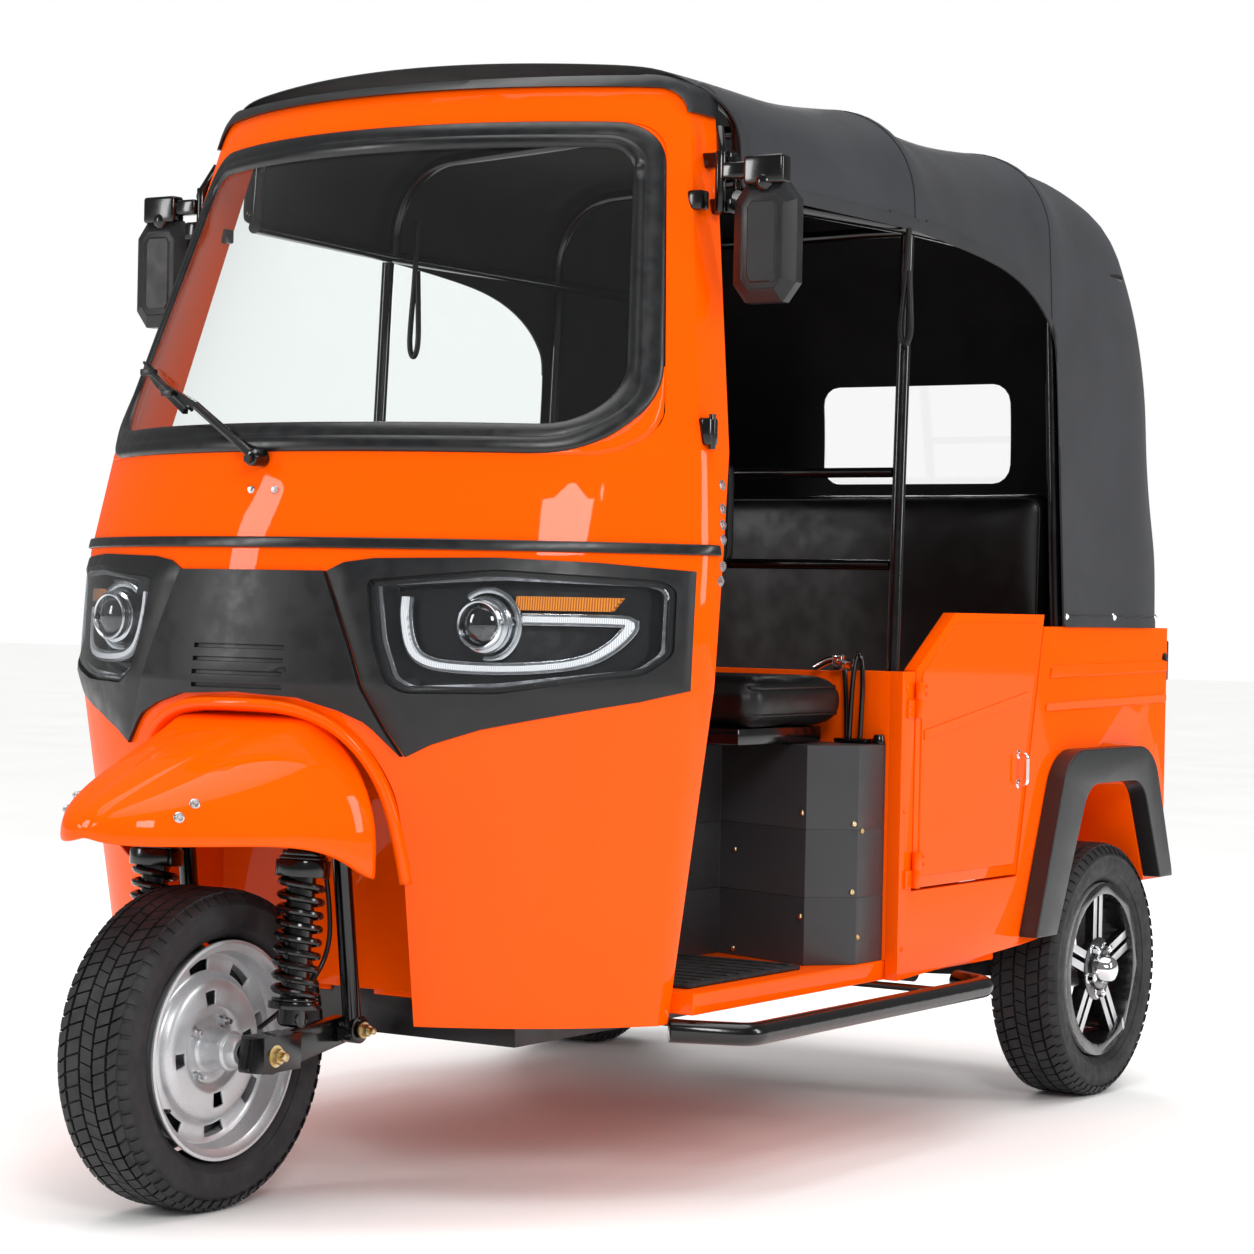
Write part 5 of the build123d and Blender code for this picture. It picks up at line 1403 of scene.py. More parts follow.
def make_seal():
    """Extruded rubber round the glass, wide at the lower corners, and the painted fillets that meet it."""
    skin = ScreenSkin()
    bm = bmesh.new()
    # section of the rubber: share of the width from its outer edge, height over the paint
    section = ((-0.08, -1.0), (-0.07, 2.0), (-0.02, 5.0), (0.1, 7.0), (0.3, 8.0), (0.46, 6.6), (0.5, 5.4),
               (0.55, 6.4), (0.8, 5.6), (0.95, 1.0), (1.0, -4.5))
    loops = []
    for share, proud in section:
        low = CORNER_LOW - SEAL_SPAN * share * 0.8
        high = CORNER_HIGH - SEAL_SPAN * share * 0.8
        loops.append(ring_loop(bm, [skin.at(x, z, proud) for x, z in screen_loop(SEAL_SPAN * share, low, high)]))
    for outer, inner in zip(loops, loops[1:]):
        bmesh.ops.bridge_loops(bm, edges=outer + inner)
    piece(bm, "screen_seal", "seal_rubber", "body", ("windscreen_seal",), subdiv=1)

    bm = bmesh.new()
    sharp = screen_corners(0.4)
    for i in range(4):
        big = CORNER_LOW if i in (0, 3) else CORNER_HIGH
        arc, centre = corner_arc(sharp, i, big + 3.0, 12)
        _, tight = corner_arc(sharp, i, SCREEN_R)
        rows = [[], [], []]
        for p in arc:
            way = (p - centre).normalized()
            reach = 0.0
            while reach < 90 and inside_corner(p + way * (reach + 0.5), sharp, i, tight):
                reach += 0.5
            reach += 5.0
            for row, share in zip(rows, (-0.12, 0.5, 1.0)):
                row.append(p + way * reach * share)
        net(bm, [[skin.at(p.x, p.y, 1.0) for p in row] for row in rows])
    bmesh.ops.remove_doubles(bm, verts=bm.verts, dist=0.05 * MM)
    bmesh.ops.recalc_face_normals(bm, faces=bm.faces)
    for f in bm.faces:
        if f.normal.y > 0:
            f.normal_flip()
    obj = piece(bm, "screen_corner_fillets", "orange_enamel", "body", (), recalc=False, angle=180)
    walled(obj, 6)


def inside_corner(p, corners, i, tight):
    """Whether a point lies within a corner that is rounded about a centre."""
    here = corners[i]
    back, ahead = ((corners[(i + k) % 4] - here).normalized() for k in (-1, 1))
    rel, mid = p - here, tight - here
    # inside both sides
    for way, other in ((back, ahead), (ahead, back)):
        across = other - way * other.dot(way)
        if rel.dot(across.normalized()) < 0:
            return False
    near_corner = rel.dot(back) < mid.dot(back) and rel.dot(ahead) < mid.dot(ahead)
    return not near_corner or (p - tight).length <= SCREEN_R - 0.4


def make_windscreen():
    """Glass in its rubber seal, with the wiper."""
    finish_node("windscreen", "glass")
    make_seal()
    dressed("wiper", "gloss_black", 1.6, 2)
    skin = Skin("front_cowl", "windscreen")
    spot, _ = skin.ahead(0, 1179)
    bm = bmesh.new()
    cylinder(bm, spot + Vector((0, -2 * MM, 0)), spot + Vector((0, -34 * MM, -2 * MM)), 15 * MM, 32, 12 * MM,
             bevel_mm=2.0)
    cylinder(bm, spot + Vector((0, -32 * MM, -2 * MM)), spot + Vector((0, -42 * MM, -3 * MM)), 8 * MM, 6)
    piece(bm, "wiper_pivot", "gloss_black", "body", (), 0.8)
    bm = bmesh.new()
    blade = []
    for x, z in ((-196, 1258), (-262, 1287), (-322, 1310), (-380, 1331), (-436, 1352)):
        hit, normal = skin.ahead(x, z)
        blade.append(hit + normal * 11 * MM)
    merge(bm, tube_along(blade, 3.2 * MM, resolution=3))
    merge(bm, tube_along([p + Vector((0, -14 * MM, 3 * MM)) for p in blade], 2.6 * MM, resolution=3))
    for p in blade[1::2]:
        cube(bm, p + Vector((-12 * MM, -26 * MM, -4 * MM)), p + Vector((12 * MM, -6 * MM, 7 * MM)), 2.0)
    piece(bm, "wiper_blade", "seal_rubber", "body", ())
    visor = dressed("roof_visor", "satin_black", 6.0, 3)
    for v in visor.data.vertices:       # the bead is flat along its middle and full at the corners
        across = max(0.0, 1 - (v.co.x / VISOR_HALF) ** 2)
        upper = min(1.0, max(0.0, (v.co.z - (HEADER_TOP + 2) * MM) / (10 * MM)))
        v.co.z -= VISOR_DROP * MM * across * upper


MIRROR_HEAD = ((582, 1480), (606, 1449), (676, 1449), (700, 1480), (700, 1614), (676, 1645), (606, 1645),
               (582, 1614))


def make_mirrors():
    """Two octagonal mirrors with faceted backs, on stubby arms."""
    mesh = bmesh.new()
    glass = bmesh.new()
    outline_face(mesh, MIRROR_HEAD, AXLE_Y + 0.640)
    cap = mesh.faces[:]
    if cap[0].normal.y > 0:
        bmesh.ops.reverse_faces(mesh, faces=cap)
    cap = [g for g in draw_out(mesh, cap, (0, -20 * MM, 0)) if isinstance(g, bmesh.types.BMFace)]
    # steps of the moulded back, from its edge to the middle: how far in, how far out
    for inward, outward in ((4, 3), (17, 9), (2, -1.5), (9, 1.5), (2, 2.5), (6, 0)):
        bmesh.ops.inset_region(mesh, faces=cap, thickness=inward * MM, depth=outward * MM, use_even_offset=True)
    mirrored(mesh)
    piece(mesh, "mirror_heads", "moulded_black", "body", ("mirrors",), 0.8, 2, angle=15)
    outline_face(glass, draw_in(MIRROR_HEAD, 8), AXLE_Y + 0.6405, 10.0, 3)
    draw_out(glass, glass.faces[:], (0, 1.2 * MM, 0))
    mirrored(glass)
    piece(glass, "mirror_glass", "chrome", "body", ())
    bm = bmesh.new()
    box_mm(bm, (604, 606, 1640), (678, 638, 1688), 6.0, 3)
    box_mm(bm, (560, 612, 1652), (612, 634, 1680), 5.0, 3)
    ball(bm, axle(640, 621, 1644), 19 * MM)
    cylinder(bm, axle(552, 624, 1700), axle(552, 624, 1600), 9 * MM, 20, bevel_mm=1.5)
    cylinder(bm, axle(535, 646, 1742), axle(556, 624, 1690), 7 * MM, 16, bevel_mm=1.0)
    for z in (1688, 1612):
        box_mm(bm, (500, 632, z - 13), (566, 656, z + 13), 4.0, 2)
        cylinder(bm, axle(566, 640, z), axle(574, 640, z), 7 * MM, 6)
    mirrored(bm)
    piece(bm, "mirror_arms", "gloss_black", "body", (), angle=40)


# ------------------------------------------------------------------ body panels
HINGE_Z = (494, 797)
FLANK_X = 625.0
REAR_FACE = 2335.0


def side_shape(bm, points, side, x0, x1, round_mm=0.0):
    """Outline in (y, z) drawn out along X on one side of the vehicle."""
    before = set(bm.faces)
    verts = [bm.verts.new(axle(side * x0, y, z)) for y, z in points]
    bm.faces.new(verts)
    if round_mm:
        bevelled(bm, verts, round_mm, 4, "VERTICES")
    faces = [f for f in bm.faces if f not in before]
    return verts_in(draw_out(bm, faces, (side * (x1 - x0) * MM, 0, 0)))


def make_body():
    """Painted side panels, doors and rear, with pressed swages, hinges and bolts."""
    for name, side in SIDES.items():
        dressed("side_panel_" + name, "orange_enamel", 2.5, 3)
        # pressed swages of the rear quarter, in the side view: y, z
        bm = bmesh.new()
        for points in (((1772, 856), (2330, 866), (2330, 838), (1765, 828)),
                       ((1752, 786), (2330, 796), (2330, 774), (1747, 764))):
            top = side_shape(bm, points, side, FLANK_X - 1.0, FLANK_X + 3.2, 3.0)
            for v in top:
                v.co.z += (4 if v.co.z < (points[0][1] + points[2][1]) / 2 * MM else -4) * MM
        piece(bm, "quarter_swages_" + name, "orange_enamel", "body", (), 1.2, 3, angle=20)

        door = "door_" + name
        dressed(door, "orange_enamel", 2.2, 3, body=door)
        bm = bmesh.new()
        frame_points = ((1232, 481), (1620, 481), (1716, 936), (1370, 936), (1232, 842))
        side_shape(bm, frame_points, side, FLANK_X - 1.0, FLANK_X + 2.4, 8.0)
        piece(bm, "door_pressing_" + name, "orange_enamel", door, (), 2.0, 3, angle=20)
        bm = bmesh.new()
        side_shape(bm, ((1240, 742), (1668, 806), (1664, 790), (1240, 724)), side, FLANK_X + 1.0, FLANK_X + 4.6, 3.0)
        piece(bm, "door_swage_" + name, "orange_enamel", door, (), 1.4, 3, angle=20)
        bm = bmesh.new()
        for z in HINGE_Z:
            for dz in (10, 24):
                dome(bm, axle(side * (FLANK_X + 12.5), 1229, z + dz), (side, 0, 0), 3.4 * MM, 2.4 * MM)
        piece(bm, "door_hinge_rivets_" + name, "orange_enamel", door, ())
        bm = bmesh.new()
        for z in HINGE_Z:
            for dz in (-10, -24):
                dome(bm, axle(side * (FLANK_X + 4), 1186, z + dz), (side, 0, 0), 3.4 * MM, 2.4 * MM)
        for y, z in ((1176, 820), (1176, 355), (1176, 600)):
            dome(bm, axle(side * FLANK_X, y, z), (side, 0, 0), 5 * MM, 3 * MM)
        piece(bm, "pillar_rivets_" + name, "orange_enamel", "body", ())
        bm = bmesh.new()
        y, z0, z1 = 1632.0, 628.0, 692.0
        merge(bm, tube_along([axle(side * (FLANK_X + 1), y, z0 + 4), axle(side * (FLANK_X + 20), y, z0 + 2),
                              axle(side * (FLANK_X + 20), y, z0 + 20), axle(side * (FLANK_X + 20), y, z1 - 20),
                              axle(side * (FLANK_X + 20), y, z1 - 2), axle(side * (FLANK_X + 1), y, z1 - 4)],
                             4.5 * MM))
        for z in (z0 + 4, z1 - 4):
            cylinder(bm, axle(side * FLANK_X, y, z), axle(side * (FLANK_X + 3), y, z), 9 * MM, 24, bevel_mm=0.8)
        piece(bm, "handle_" + name, "chrome", door, ("door_handle_" + name,))

    dressed("rear_panel", "orange_enamel", 2.5, 3)
    dressed("rear_lid", "orange_enamel", 3.0, 3, body="rear_lid")
    bm = bmesh.new()
    box_mm(bm, (-380, REAR_FACE - 1, 620), (380, REAR_FACE + 4, 800), 3.5, 3)
    piece(bm, "lid_pressing", "orange_enamel", "rear_lid", ())
    bm = bmesh.new()
    box_mm(bm, (-60, REAR_FACE + 3, 575), (60, REAR_FACE + 9, 603), 3.0, 2)
    merge(bm, tube_along([axle(-45, REAR_FACE + 8, 589), axle(-45, REAR_FACE + 24, 589), axle(0, REAR_FACE + 26, 589),
                          axle(45, REAR_FACE + 24, 589), axle(45, REAR_FACE + 8, 589)], 4.5 * MM))
    piece(bm, "lid_handle", "chrome", "rear_lid", (), angle=40)
    dressed("bulkhead", "orange_enamel", 2.0)
    dressed("floor_pan", "orange_enamel", 2.5, 3)
    bm = bmesh.new()
    box_mm(bm, (-260, REAR_FACE, 866), (260, REAR_FACE + 2, 900), 1.0)
    piece(bm, "rear_plate_strip", "moulded_black", "body", ())


def make_flares():
    """Moulded wheel flares, foot rails, bumper and tail lamps."""
    flares = dressed("wheel_flares", "satin_black", 13.0, 5, angle=40)
    for v in flares.data.vertices:      # legs narrow towards their feet on the outer side
        y, z = (v.co.y - AXLE_Y) / MM, v.co.z / MM
        share = max(0.0, (640 - z) / 300)
        if y < 1612 + (z - 330) * 0.4917 + 30 and z < 640:
            v.co.y += 34 * MM * share
        elif y > 2318 - (z - 420) * 0.485 - 30 and z < 640:
            v.co.y -= 26 * MM * share
    for name, side in SIDES.items():
        bm = bmesh.new()
        box_mm(bm, (side * 628, 2236, 430), (side * 600, 2300, 500), 4.0)
        for z in (450, 482):
            bolt(bm, axle(side * 628, 2290, z), (side, 0, 0), 6 * MM, 6 * MM, 1.5)
        piece(bm, "flare_stay_" + name, "gloss_black", "body", (), angle=40)
    dressed("side_steps", "gloss_black", 1.5)
    dressed("rear_bumper", "gloss_black", 1.5)
    bm = bmesh.new()
    for side in SIDES.values():
        ball(bm, axle(side * 590, 2338, 500), 24 * MM)
    piece(bm, "bumper_sockets", "gloss_black", "body", ())
    lens = bmesh.new()
    box = bmesh.new()
    for side in (-1, 1):
        box_mm(box, (side * 561, REAR_FACE + 0.5, 821), (side * 622, REAR_FACE + 18, 904), 4.0, 3)
        box_mm(lens, (side * 566, REAR_FACE + 14, 826), (side * 617, REAR_FACE + 29, 899), 6.0, 4)
        bolt(box, axle(side * 625, REAR_FACE - 14, 868), (side, 0, 0), 7 * MM, 6 * MM, 1.6)
    piece(box, "tail_lamp_bodies", "moulded_black", "body", ("tail_lamps",), angle=40)
    piece(lens, "tail_lamp_lenses", "red_lens", "body", (), angle=40)
    bm = bmesh.new()
    for side in (-1, 1):
        for y in (690, 1400):
            for x in (345, 640):
                bolt(bm, axle(side * x, y + 20, 252), (0, 0, -1), 8 * MM, 8 * MM, 1.5)
    piece(bm, "step_bolts", "zinc", "body", ())


# ------------------------------------------------------------------ canopy
HEADER_TOP = 1806.0
BELT_Z = 930.0
# y, half width at the belt, half width at the shoulder, shoulder height, crown height
ROOF_ROWS = ((440, 545, 492, HEADER_TOP + 20, HEADER_TOP + 24), (700, 572, 524, HEADER_TOP + 32, HEADER_TOP + 52),
             (1200, 631, 592, HEADER_TOP + 40, HEADER_TOP + 74), (2300, 631, 582, HEADER_TOP + 32, HEADER_TOP + 62),
             (2368, 620, 566, HEADER_TOP + 24, HEADER_TOP + 54), (2420, 580, 520, HEADER_TOP + 4, HEADER_TOP + 34))
# rear outline in the side view: y, z
ROOF_BACK = ((1815, HEADER_TOP + 80), (1900, HEADER_TOP + 78), (2000, HEADER_TOP + 71), (2100, HEADER_TOP + 58),
             (2160, HEADER_TOP + 34), (2210, HEADER_TOP + 0), (2262, 1748), (2310, 1676), (2350, 1590), (2380, 1490),
             (2396, 1370), (2400, 1240), (2388, 1140), (2368, 1035), (2345, 926))
# lower edge of the roof along the doorways: y, z
HEM_LINE = ((722, 1648), (980, 1640), (1250, 1634), (1480, 1616), (1600, 1600), (1690, 1574), (1750, 1545),
            (1790, 1512), (1815, 1470))
BOWS = (742, 1228, 1800, 2150)
PANEL_Y = 1815.0
CORNER_TOP = 165.0
CORNER_BACK = 70.0
HEM_BAND = 22.0


def between(rows, y):
    """Values of a table at y, straight between its rows."""
    for low, high in zip(rows, rows[1:]):
        if y <= high[0]:
            break
    share = (y - low[0]) / (high[0] - low[0])
    return [a + (b - a) * share for a, b in zip(low, high)]


def side_x(y, z):
    """Half width of the canvas side at a height."""
    _, belt, shoulder, z_shoulder, _ = between(ROOF_ROWS, min(y, 2420))
    return belt - (belt - shoulder) * (z - 900) / (z_shoulder - 900)


def sag_at(y):
    """How far the canvas hangs between two bows."""
    for front, rear in zip(BOWS, BOWS[1:]):
        if front <= y <= rear:
            sag = bpy.context.scene.rickshaw_sizes.canopy_sag / MM
            return sag * math.sin(math.pi * (y - front) / (rear - front)) ** 2
    return 0.0


ROOF_ACROSS = (0.0, 0.28, 0.56, 0.82, 1.0)      # shares of the flat from the middle to the corner


def roof_chain(y, hem_z):
    """Half of a section over the doorways, from the hem up and over to the middle."""
    _, _, _, z_shoulder, crown = between(ROOF_ROWS, y)
    corner = CORNER_TOP if y > 1200 else CORNER_TOP * (0.55 + 0.45 * max(0.0, y - 700) / 500)
    bend = z_shoulder - corner
    drop = sag_at(y)
    points = [(side_x(y, hem_z), y, hem_z), (side_x(y, hem_z), y, hem_z + HEM_BAND)]
    points += [(side_x(y, z), y, z) for z in (hem_z + HEM_BAND + (bend - hem_z - HEM_BAND) * 0.5,)]
    wide = side_x(y, z_shoulder)
    for turn in (0, 30, 60):
        a = math.radians(turn)
        x = wide - corner * (1 - math.cos(a)) + (side_x(y, bend) - wide) * (1 - turn / 90)
        points.append((x - drop * 0.5, y, bend + corner * math.sin(a) * 0.98 - drop * turn / 90))
    flat = wide - corner
    for share in reversed(ROOF_ACROSS):
        x = flat * share
        z = crown - (crown - z_shoulder) * (x / wide) ** 2 - drop
        points.append((x, y, z))
    return points


PANEL_STEPS = (0.0, 0.14, 0.3, 0.48, 0.68, 0.86)


def fan_chain(foot, angle):
    """Half of a section that turns about the foot of the side panel, from there out and over to the middle."""
    aim = (math.cos(angle), math.sin(angle))
    reach = 0.0
    for (ay, az), (by, bz) in zip(ROOF_BACK, ROOF_BACK[1:]):
        ca = aim[0] * (az - foot[1]) - aim[1] * (ay - foot[0])
        cb = aim[0] * (bz - foot[1]) - aim[1] * (by - foot[0])
        if ca >= -1e-9 and cb <= 1e-9:
            t = ca / (ca - cb) if ca != cb else 0.0
            reach = math.hypot(ay + (by - ay) * t - foot[0], az + (bz - az) * t - foot[1])
    up = math.sin(angle)
    corner = CORNER_BACK + (CORNER_TOP - CORNER_BACK) * up ** 2
    bulge = 12 + 24 * up ** 2
    top = reach - bulge
    tuck = sag_at(foot[0] + aim[0] * reach) if up > 0.6 else 3.0 * math.sin(math.pi * up)
    points = []
    for share in PANEL_STEPS:
        d = (top - corner) * share
        y, z = foot[0] + aim[0] * d, foot[1] + aim[1] * d
        belly = 6.0 * math.sin(math.pi * min(1.0, share)) * math.sin(math.pi * min(1.0, up + 0.15))
        points.append((side_x(y, z) - belly, y, z))
    y, z = foot[0] + aim[0] * top, foot[1] + aim[1] * top
    wide = side_x(y, z)
    for turn in (0, 30, 60):
        a = math.radians(turn)
        d = top - corner + corner * math.sin(a) * 0.98
        y, z = foot[0] + aim[0] * d, foot[1] + aim[1] * d
        points.append((wide - corner * (1 - math.cos(a)), y, z))
    flat = wide - corner
    for share in reversed(ROOF_ACROSS):
        x = flat * share
        d = reach - bulge * (x / wide) ** 2 - tuck
        y, z = foot[0] + aim[0] * d, foot[1] + aim[1] * d
        points.append((x, y, z))
    return points


def chain_row(points):
    """Row of frame points across the whole roof from half of one."""
    return [axle(*p) for p in points] + [axle(-x, y, z) for x, y, z in reversed(points[:-1])]


REAR_WINDOW = ((-230, 1235), (230, 1235), (230, 1450), (-230, 1450))
SNAP_Z = 951                # height of the snaps along the lower hem
BOW_WIDTH = 60              # how far from a bow the canvas still follows it
BOW_SHARES = (0.62, 0.62, 0.16)


def make_canopy():
    """Canvas roof as one stretched sheet over its bows, with bindings, seams, snaps and a rear window."""
    bm = bmesh.new()
    front = []
    for x, _, z in roof_chain(700, 1652):
        share = min(1.0, abs(x) / 500)
        back = 500 + 140 * share ** 2
        if z < 1780:
            back = 722
        elif abs(x) > 490:
            back = 700
        front.append((x, back, z))
    stations = (742, 860, 980, 1110, 1228, 1360, 1500, 1600, 1690, 1760, 1800, 1815)
    rows = [chain_row(front)]
    for y in stations:
        rows.append(chain_row(roof_chain(y, between(HEM_LINE, y)[1])))
    # the last row of the roof is the first of the fan, so both share its points
    foot = (PANEL_Y, BELT_Z)
    last = roof_chain(PANEL_Y, HEM_LINE[-1][1])
    lower = [(side_x(PANEL_Y, z), PANEL_Y, z) for z in (930, 952, 1080, 1200, 1300)]
    rows[-1] = chain_row(last)
    net(bm, rows)
    count = len(lower) + len(last)
    fan = [chain_row(lower + last)]
    for angle in (82, 74, 66, 58, 51, 44, 38, 31, 24, 17, 10, 4, 1.5, 0):
        chain = fan_chain(foot, math.radians(angle))
        want = count - len(chain)
        side = chain[:len(PANEL_STEPS)]
        steps = len(PANEL_STEPS) + want
        reach = [(side[-1][1] - foot[0]), (side[-1][2] - foot[1])]
        span = math.hypot(*reach)
        spread = [0.0, 22 / span] + [i / (steps - 1) for i in range(1, steps - 1)]
        spread = sorted(spread[:steps - 1] + [1.0])
        new_side = []
        for share in spread:
            y, z = foot[0] + reach[0] * share, foot[1] + reach[1] * share
            belly = 5.0 * math.sin(math.pi * share) * math.sin(math.radians(angle) * 2) if angle > 5 else 0.0
            new_side.append((side_x(y, z) - belly, y, z))
        fan.append(chain_row(new_side + chain[len(PANEL_STEPS):]))
    net(bm, fan)
    bmesh.ops.remove_doubles(bm, verts=bm.verts, dist=0.3 * MM)
    bmesh.ops.recalc_face_normals(bm, faces=bm.faces)
    if sum(f.normal.z * f.calc_area() for f in bm.faces if f.calc_center_median().z > 1.8) < 0:
        bmesh.ops.reverse_faces(bm, faces=bm.faces)
    sheet = piece(bm, "canopy_canvas", ("canvas_outer", "canvas_inner"), "body", ("canopy",), subdiv=2,
                  recalc=False)
    apply_modifiers(sheet)
    lift_over_bows(sheet)
    surface_copy = sheet.data.copy()
    wall = walled(sheet, 2)
    wall.material_offset, wall.material_offset_rim = 1, 0
    apply_modifiers(sheet)
    cut(sheet, cutter(REAR_WINDOW, 2.2 + AXLE_Y, 2.5 + AXLE_Y, 40.0))
    smooth(sheet, 60)

    trims = canopy_trims(surface_copy)
    tree = BVHTree.FromObject(sheet, bpy.context.evaluated_depsgraph_get())
    snaps = bmesh.new()
    for side in (-1, 1):
        for y, z in ((1830, SNAP_Z), (2055, SNAP_Z), (2290, SNAP_Z), (736, 1668)):
            hit, normal, _, _ = tree.ray_cast(axle(side * 2000, y, z), Vector((-side, 0, 0)))
            if hit is not None:
                dome(snaps, hit, normal, 8 * MM, 4.5 * MM, 20)
                dome(snaps, hit + normal * 2.5 * MM, normal, 4.5 * MM, 3.5 * MM, 16)
    for x in (-520, -260, 0, 260, 520):
        hit, normal, _, _ = tree.ray_cast(axle(x, 5000, SNAP_Z), Vector((0, -1, 0)))
        if hit is not None:
            dome(snaps, hit, normal, 8 * MM, 4.5 * MM, 20)
    snaps = piece(snaps, "canopy_snaps", "chrome", "body", ())
    finish_node("rear_window", "clear_film")
    bpy.data.meshes.remove(surface_copy)


def lift_over_bows(sheet):
    """Stretches the canvas over the bows, where it takes the outline of the frame's own canopy."""
    tree = Skin("canopy").tree
    for v in sheet.data.vertices:
        y = (v.co.y - AXLE_Y) / MM
        if v.co.z < 1.5 or y < 1000:
            continue
        near = max(share * math.exp(-((y - bow) / BOW_WIDTH) ** 2) for bow, share in zip(BOWS[1:], BOW_SHARES))
        back = 0.12 * min(1.0, max(0.0, (y - 1950) / 250))
        origin = Vector((v.co.x * 0.35, v.co.y - back, 1.35))
        way = (v.co - origin).normalized()
        hit, _, _, _ = tree.ray_cast(origin + way * 3, -way)
        if hit is not None:
            out = (hit - v.co).dot(way) + 1.5 * MM
            if 0 < out < 0.09:
                v.co += way * out * near


BINDING, SEAM_HALF = 26, 9      # width of the hem binding, half width of a seam tape
TAPE_THICK = 1.4


def canopy_trims(mesh):
    """Hem bindings and seam tapes laid on the canvas."""
    bm = bmesh.new()
    bm.from_mesh(mesh)
    bm.normal_update()
    made = []
    from_edge = {v: 0.0 for e in bm.edges if e.is_boundary for v in e.verts}
    front = list(from_edge)
    while front:
        v = front.pop(0)
        for e in v.link_edges:
            other = e.other_vert(v)
            d = from_edge[v] + e.calc_length()
            if d < from_edge.get(other, BINDING * MM):
                from_edge[other] = d
                front.append(other)
    rest = [f for f in bm.faces if not all(v in from_edge for v in f.verts)]
    bmesh.ops.delete(bm, geom=rest, context="FACES")
    made.append(raised_tape(bm, "canopy_binding", "binding_tape"))
    for n, y in enumerate((BOWS[1], BOWS[2])):
        bm = bmesh.new()
        bm.from_mesh(mesh)
        place = axle(0, y, 0)
        for offset in (-SEAM_HALF * MM, SEAM_HALF * MM):
            slice_at(bm, place + Vector((0, offset, 0)), (0, 1, 0))
        gone = [f for f in bm.faces if abs(f.calc_center_median().y - place.y) > SEAM_HALF * MM]
        bmesh.ops.delete(bm, geom=gone, context="FACES")
        made.append(raised_tape(bm, "canopy_seam_%d" % (n + 1), "canvas_outer"))
    return made


def raised_tape(bm, name, finish):
    """Strip of cloth sewn on the outside of the canvas."""
    bm.normal_update()
    for v in bm.verts:
        v.co += v.normal * 0.3 * MM
    top = verts_in(bmesh.ops.extrude_face_region(bm, geom=bm.faces[:])["geom"])
    bm.normal_update()
    for v in top:
        v.co += v.normal * TAPE_THICK * MM
    bmesh.ops.recalc_face_normals(bm, faces=bm.faces)
    return piece(bm, name, finish, "body", (), angle=50, recalc=False)


# ------------------------------------------------------------------ seats
def pad(name, low, high, round_mm, shrink_mm, voxel_mm, cap_mm, pressure=4.0, shape=None):
    """Stuffed pad: a rounded form blown up as cloth, with how far it may move held down."""
    bm = bmesh.new()
    margin = Vector((shrink_mm * MM,) * 3)
    cube(bm, Vector(low) + margin, Vector(high) - margin, round_mm, 5)
    if shape:
        shape(bm)
    obj = piece(bm, name, "leatherette", "body", (), angle=180)
    remesh = obj.modifiers.new("remesh", "REMESH")
    remesh.mode = "VOXEL"
    remesh.voxel_size = voxel_mm * MM
    apply_modifiers(obj)
    start = [v.co.copy() for v in obj.data.vertices]
    cloth = obj.modifiers.new("cloth", "CLOTH")
    cloth.settings.use_pressure = True
    cloth.settings.uniform_pressure_force = pressure
    cloth.settings.effector_weights.gravity = 0.0
    cloth.settings.quality = 4
    cloth.settings.tension_stiffness = cloth.settings.compression_stiffness = 18.0
    cloth.settings.bending_stiffness = 1.0
    cloth.point_cache.frame_start, cloth.point_cache.frame_end = 1, 20
    scene = bpy.context.scene
    for step in range(1, 21):
        scene.frame_set(step)
    apply_modifiers(obj)
    scene.frame_set(1)
    for v, was in zip(obj.data.vertices, start):
        move = v.co - was
        if move.length > cap_mm * MM:
            v.co = was + move.normalized() * cap_mm * MM
    obj.modifiers.clear()
    return obj


def press(obj, move):
    """Moves each point of a pad by a function of its place."""
    for v in obj.data.vertices:
        v.co += move(v.co)
    sub = obj.modifiers.new("smooth", "SUBSURF")
    sub.levels = sub.render_levels = 1
    apply_modifiers(obj)
    smooth(obj, 180)


def keep_within(obj, low, high, edge_mm=3.0):
    """Keeps a pad inside the space that its solid holds."""
    for v in obj.data.vertices:
        for i in range(3):
            v.co[i] = min(max(v.co[i], low[i] - edge_mm * MM), high[i] + edge_mm * MM)


def piping(obj, name, corners, radius_mm):
    """Sewn piping that follows a closed line round a pad, seated on its surface."""
    tree = BVHTree.FromObject(obj, bpy.context.evaluated_depsgraph_get())
    middle = sum(corners, Vector()) / len(corners)
    line = []
    count = 24
    for a, b in zip(corners, corners[1:] + corners[:1]):
        for i in range(count):
            spot = a.lerp(b, i / count)
            ray = spot - middle
            hit, normal, _, _ = tree.ray_cast(middle + ray * 1.6, -ray.normalized())
            if hit is not None and (hit - spot).length < 60 * MM:
                line.append(hit + normal * radius_mm * 0.35 * MM)
    bm = tube_along(line, radius_mm * MM, resolution=4, cyclic=True)
    return piece(bm, name, "leatherette", "body", ())


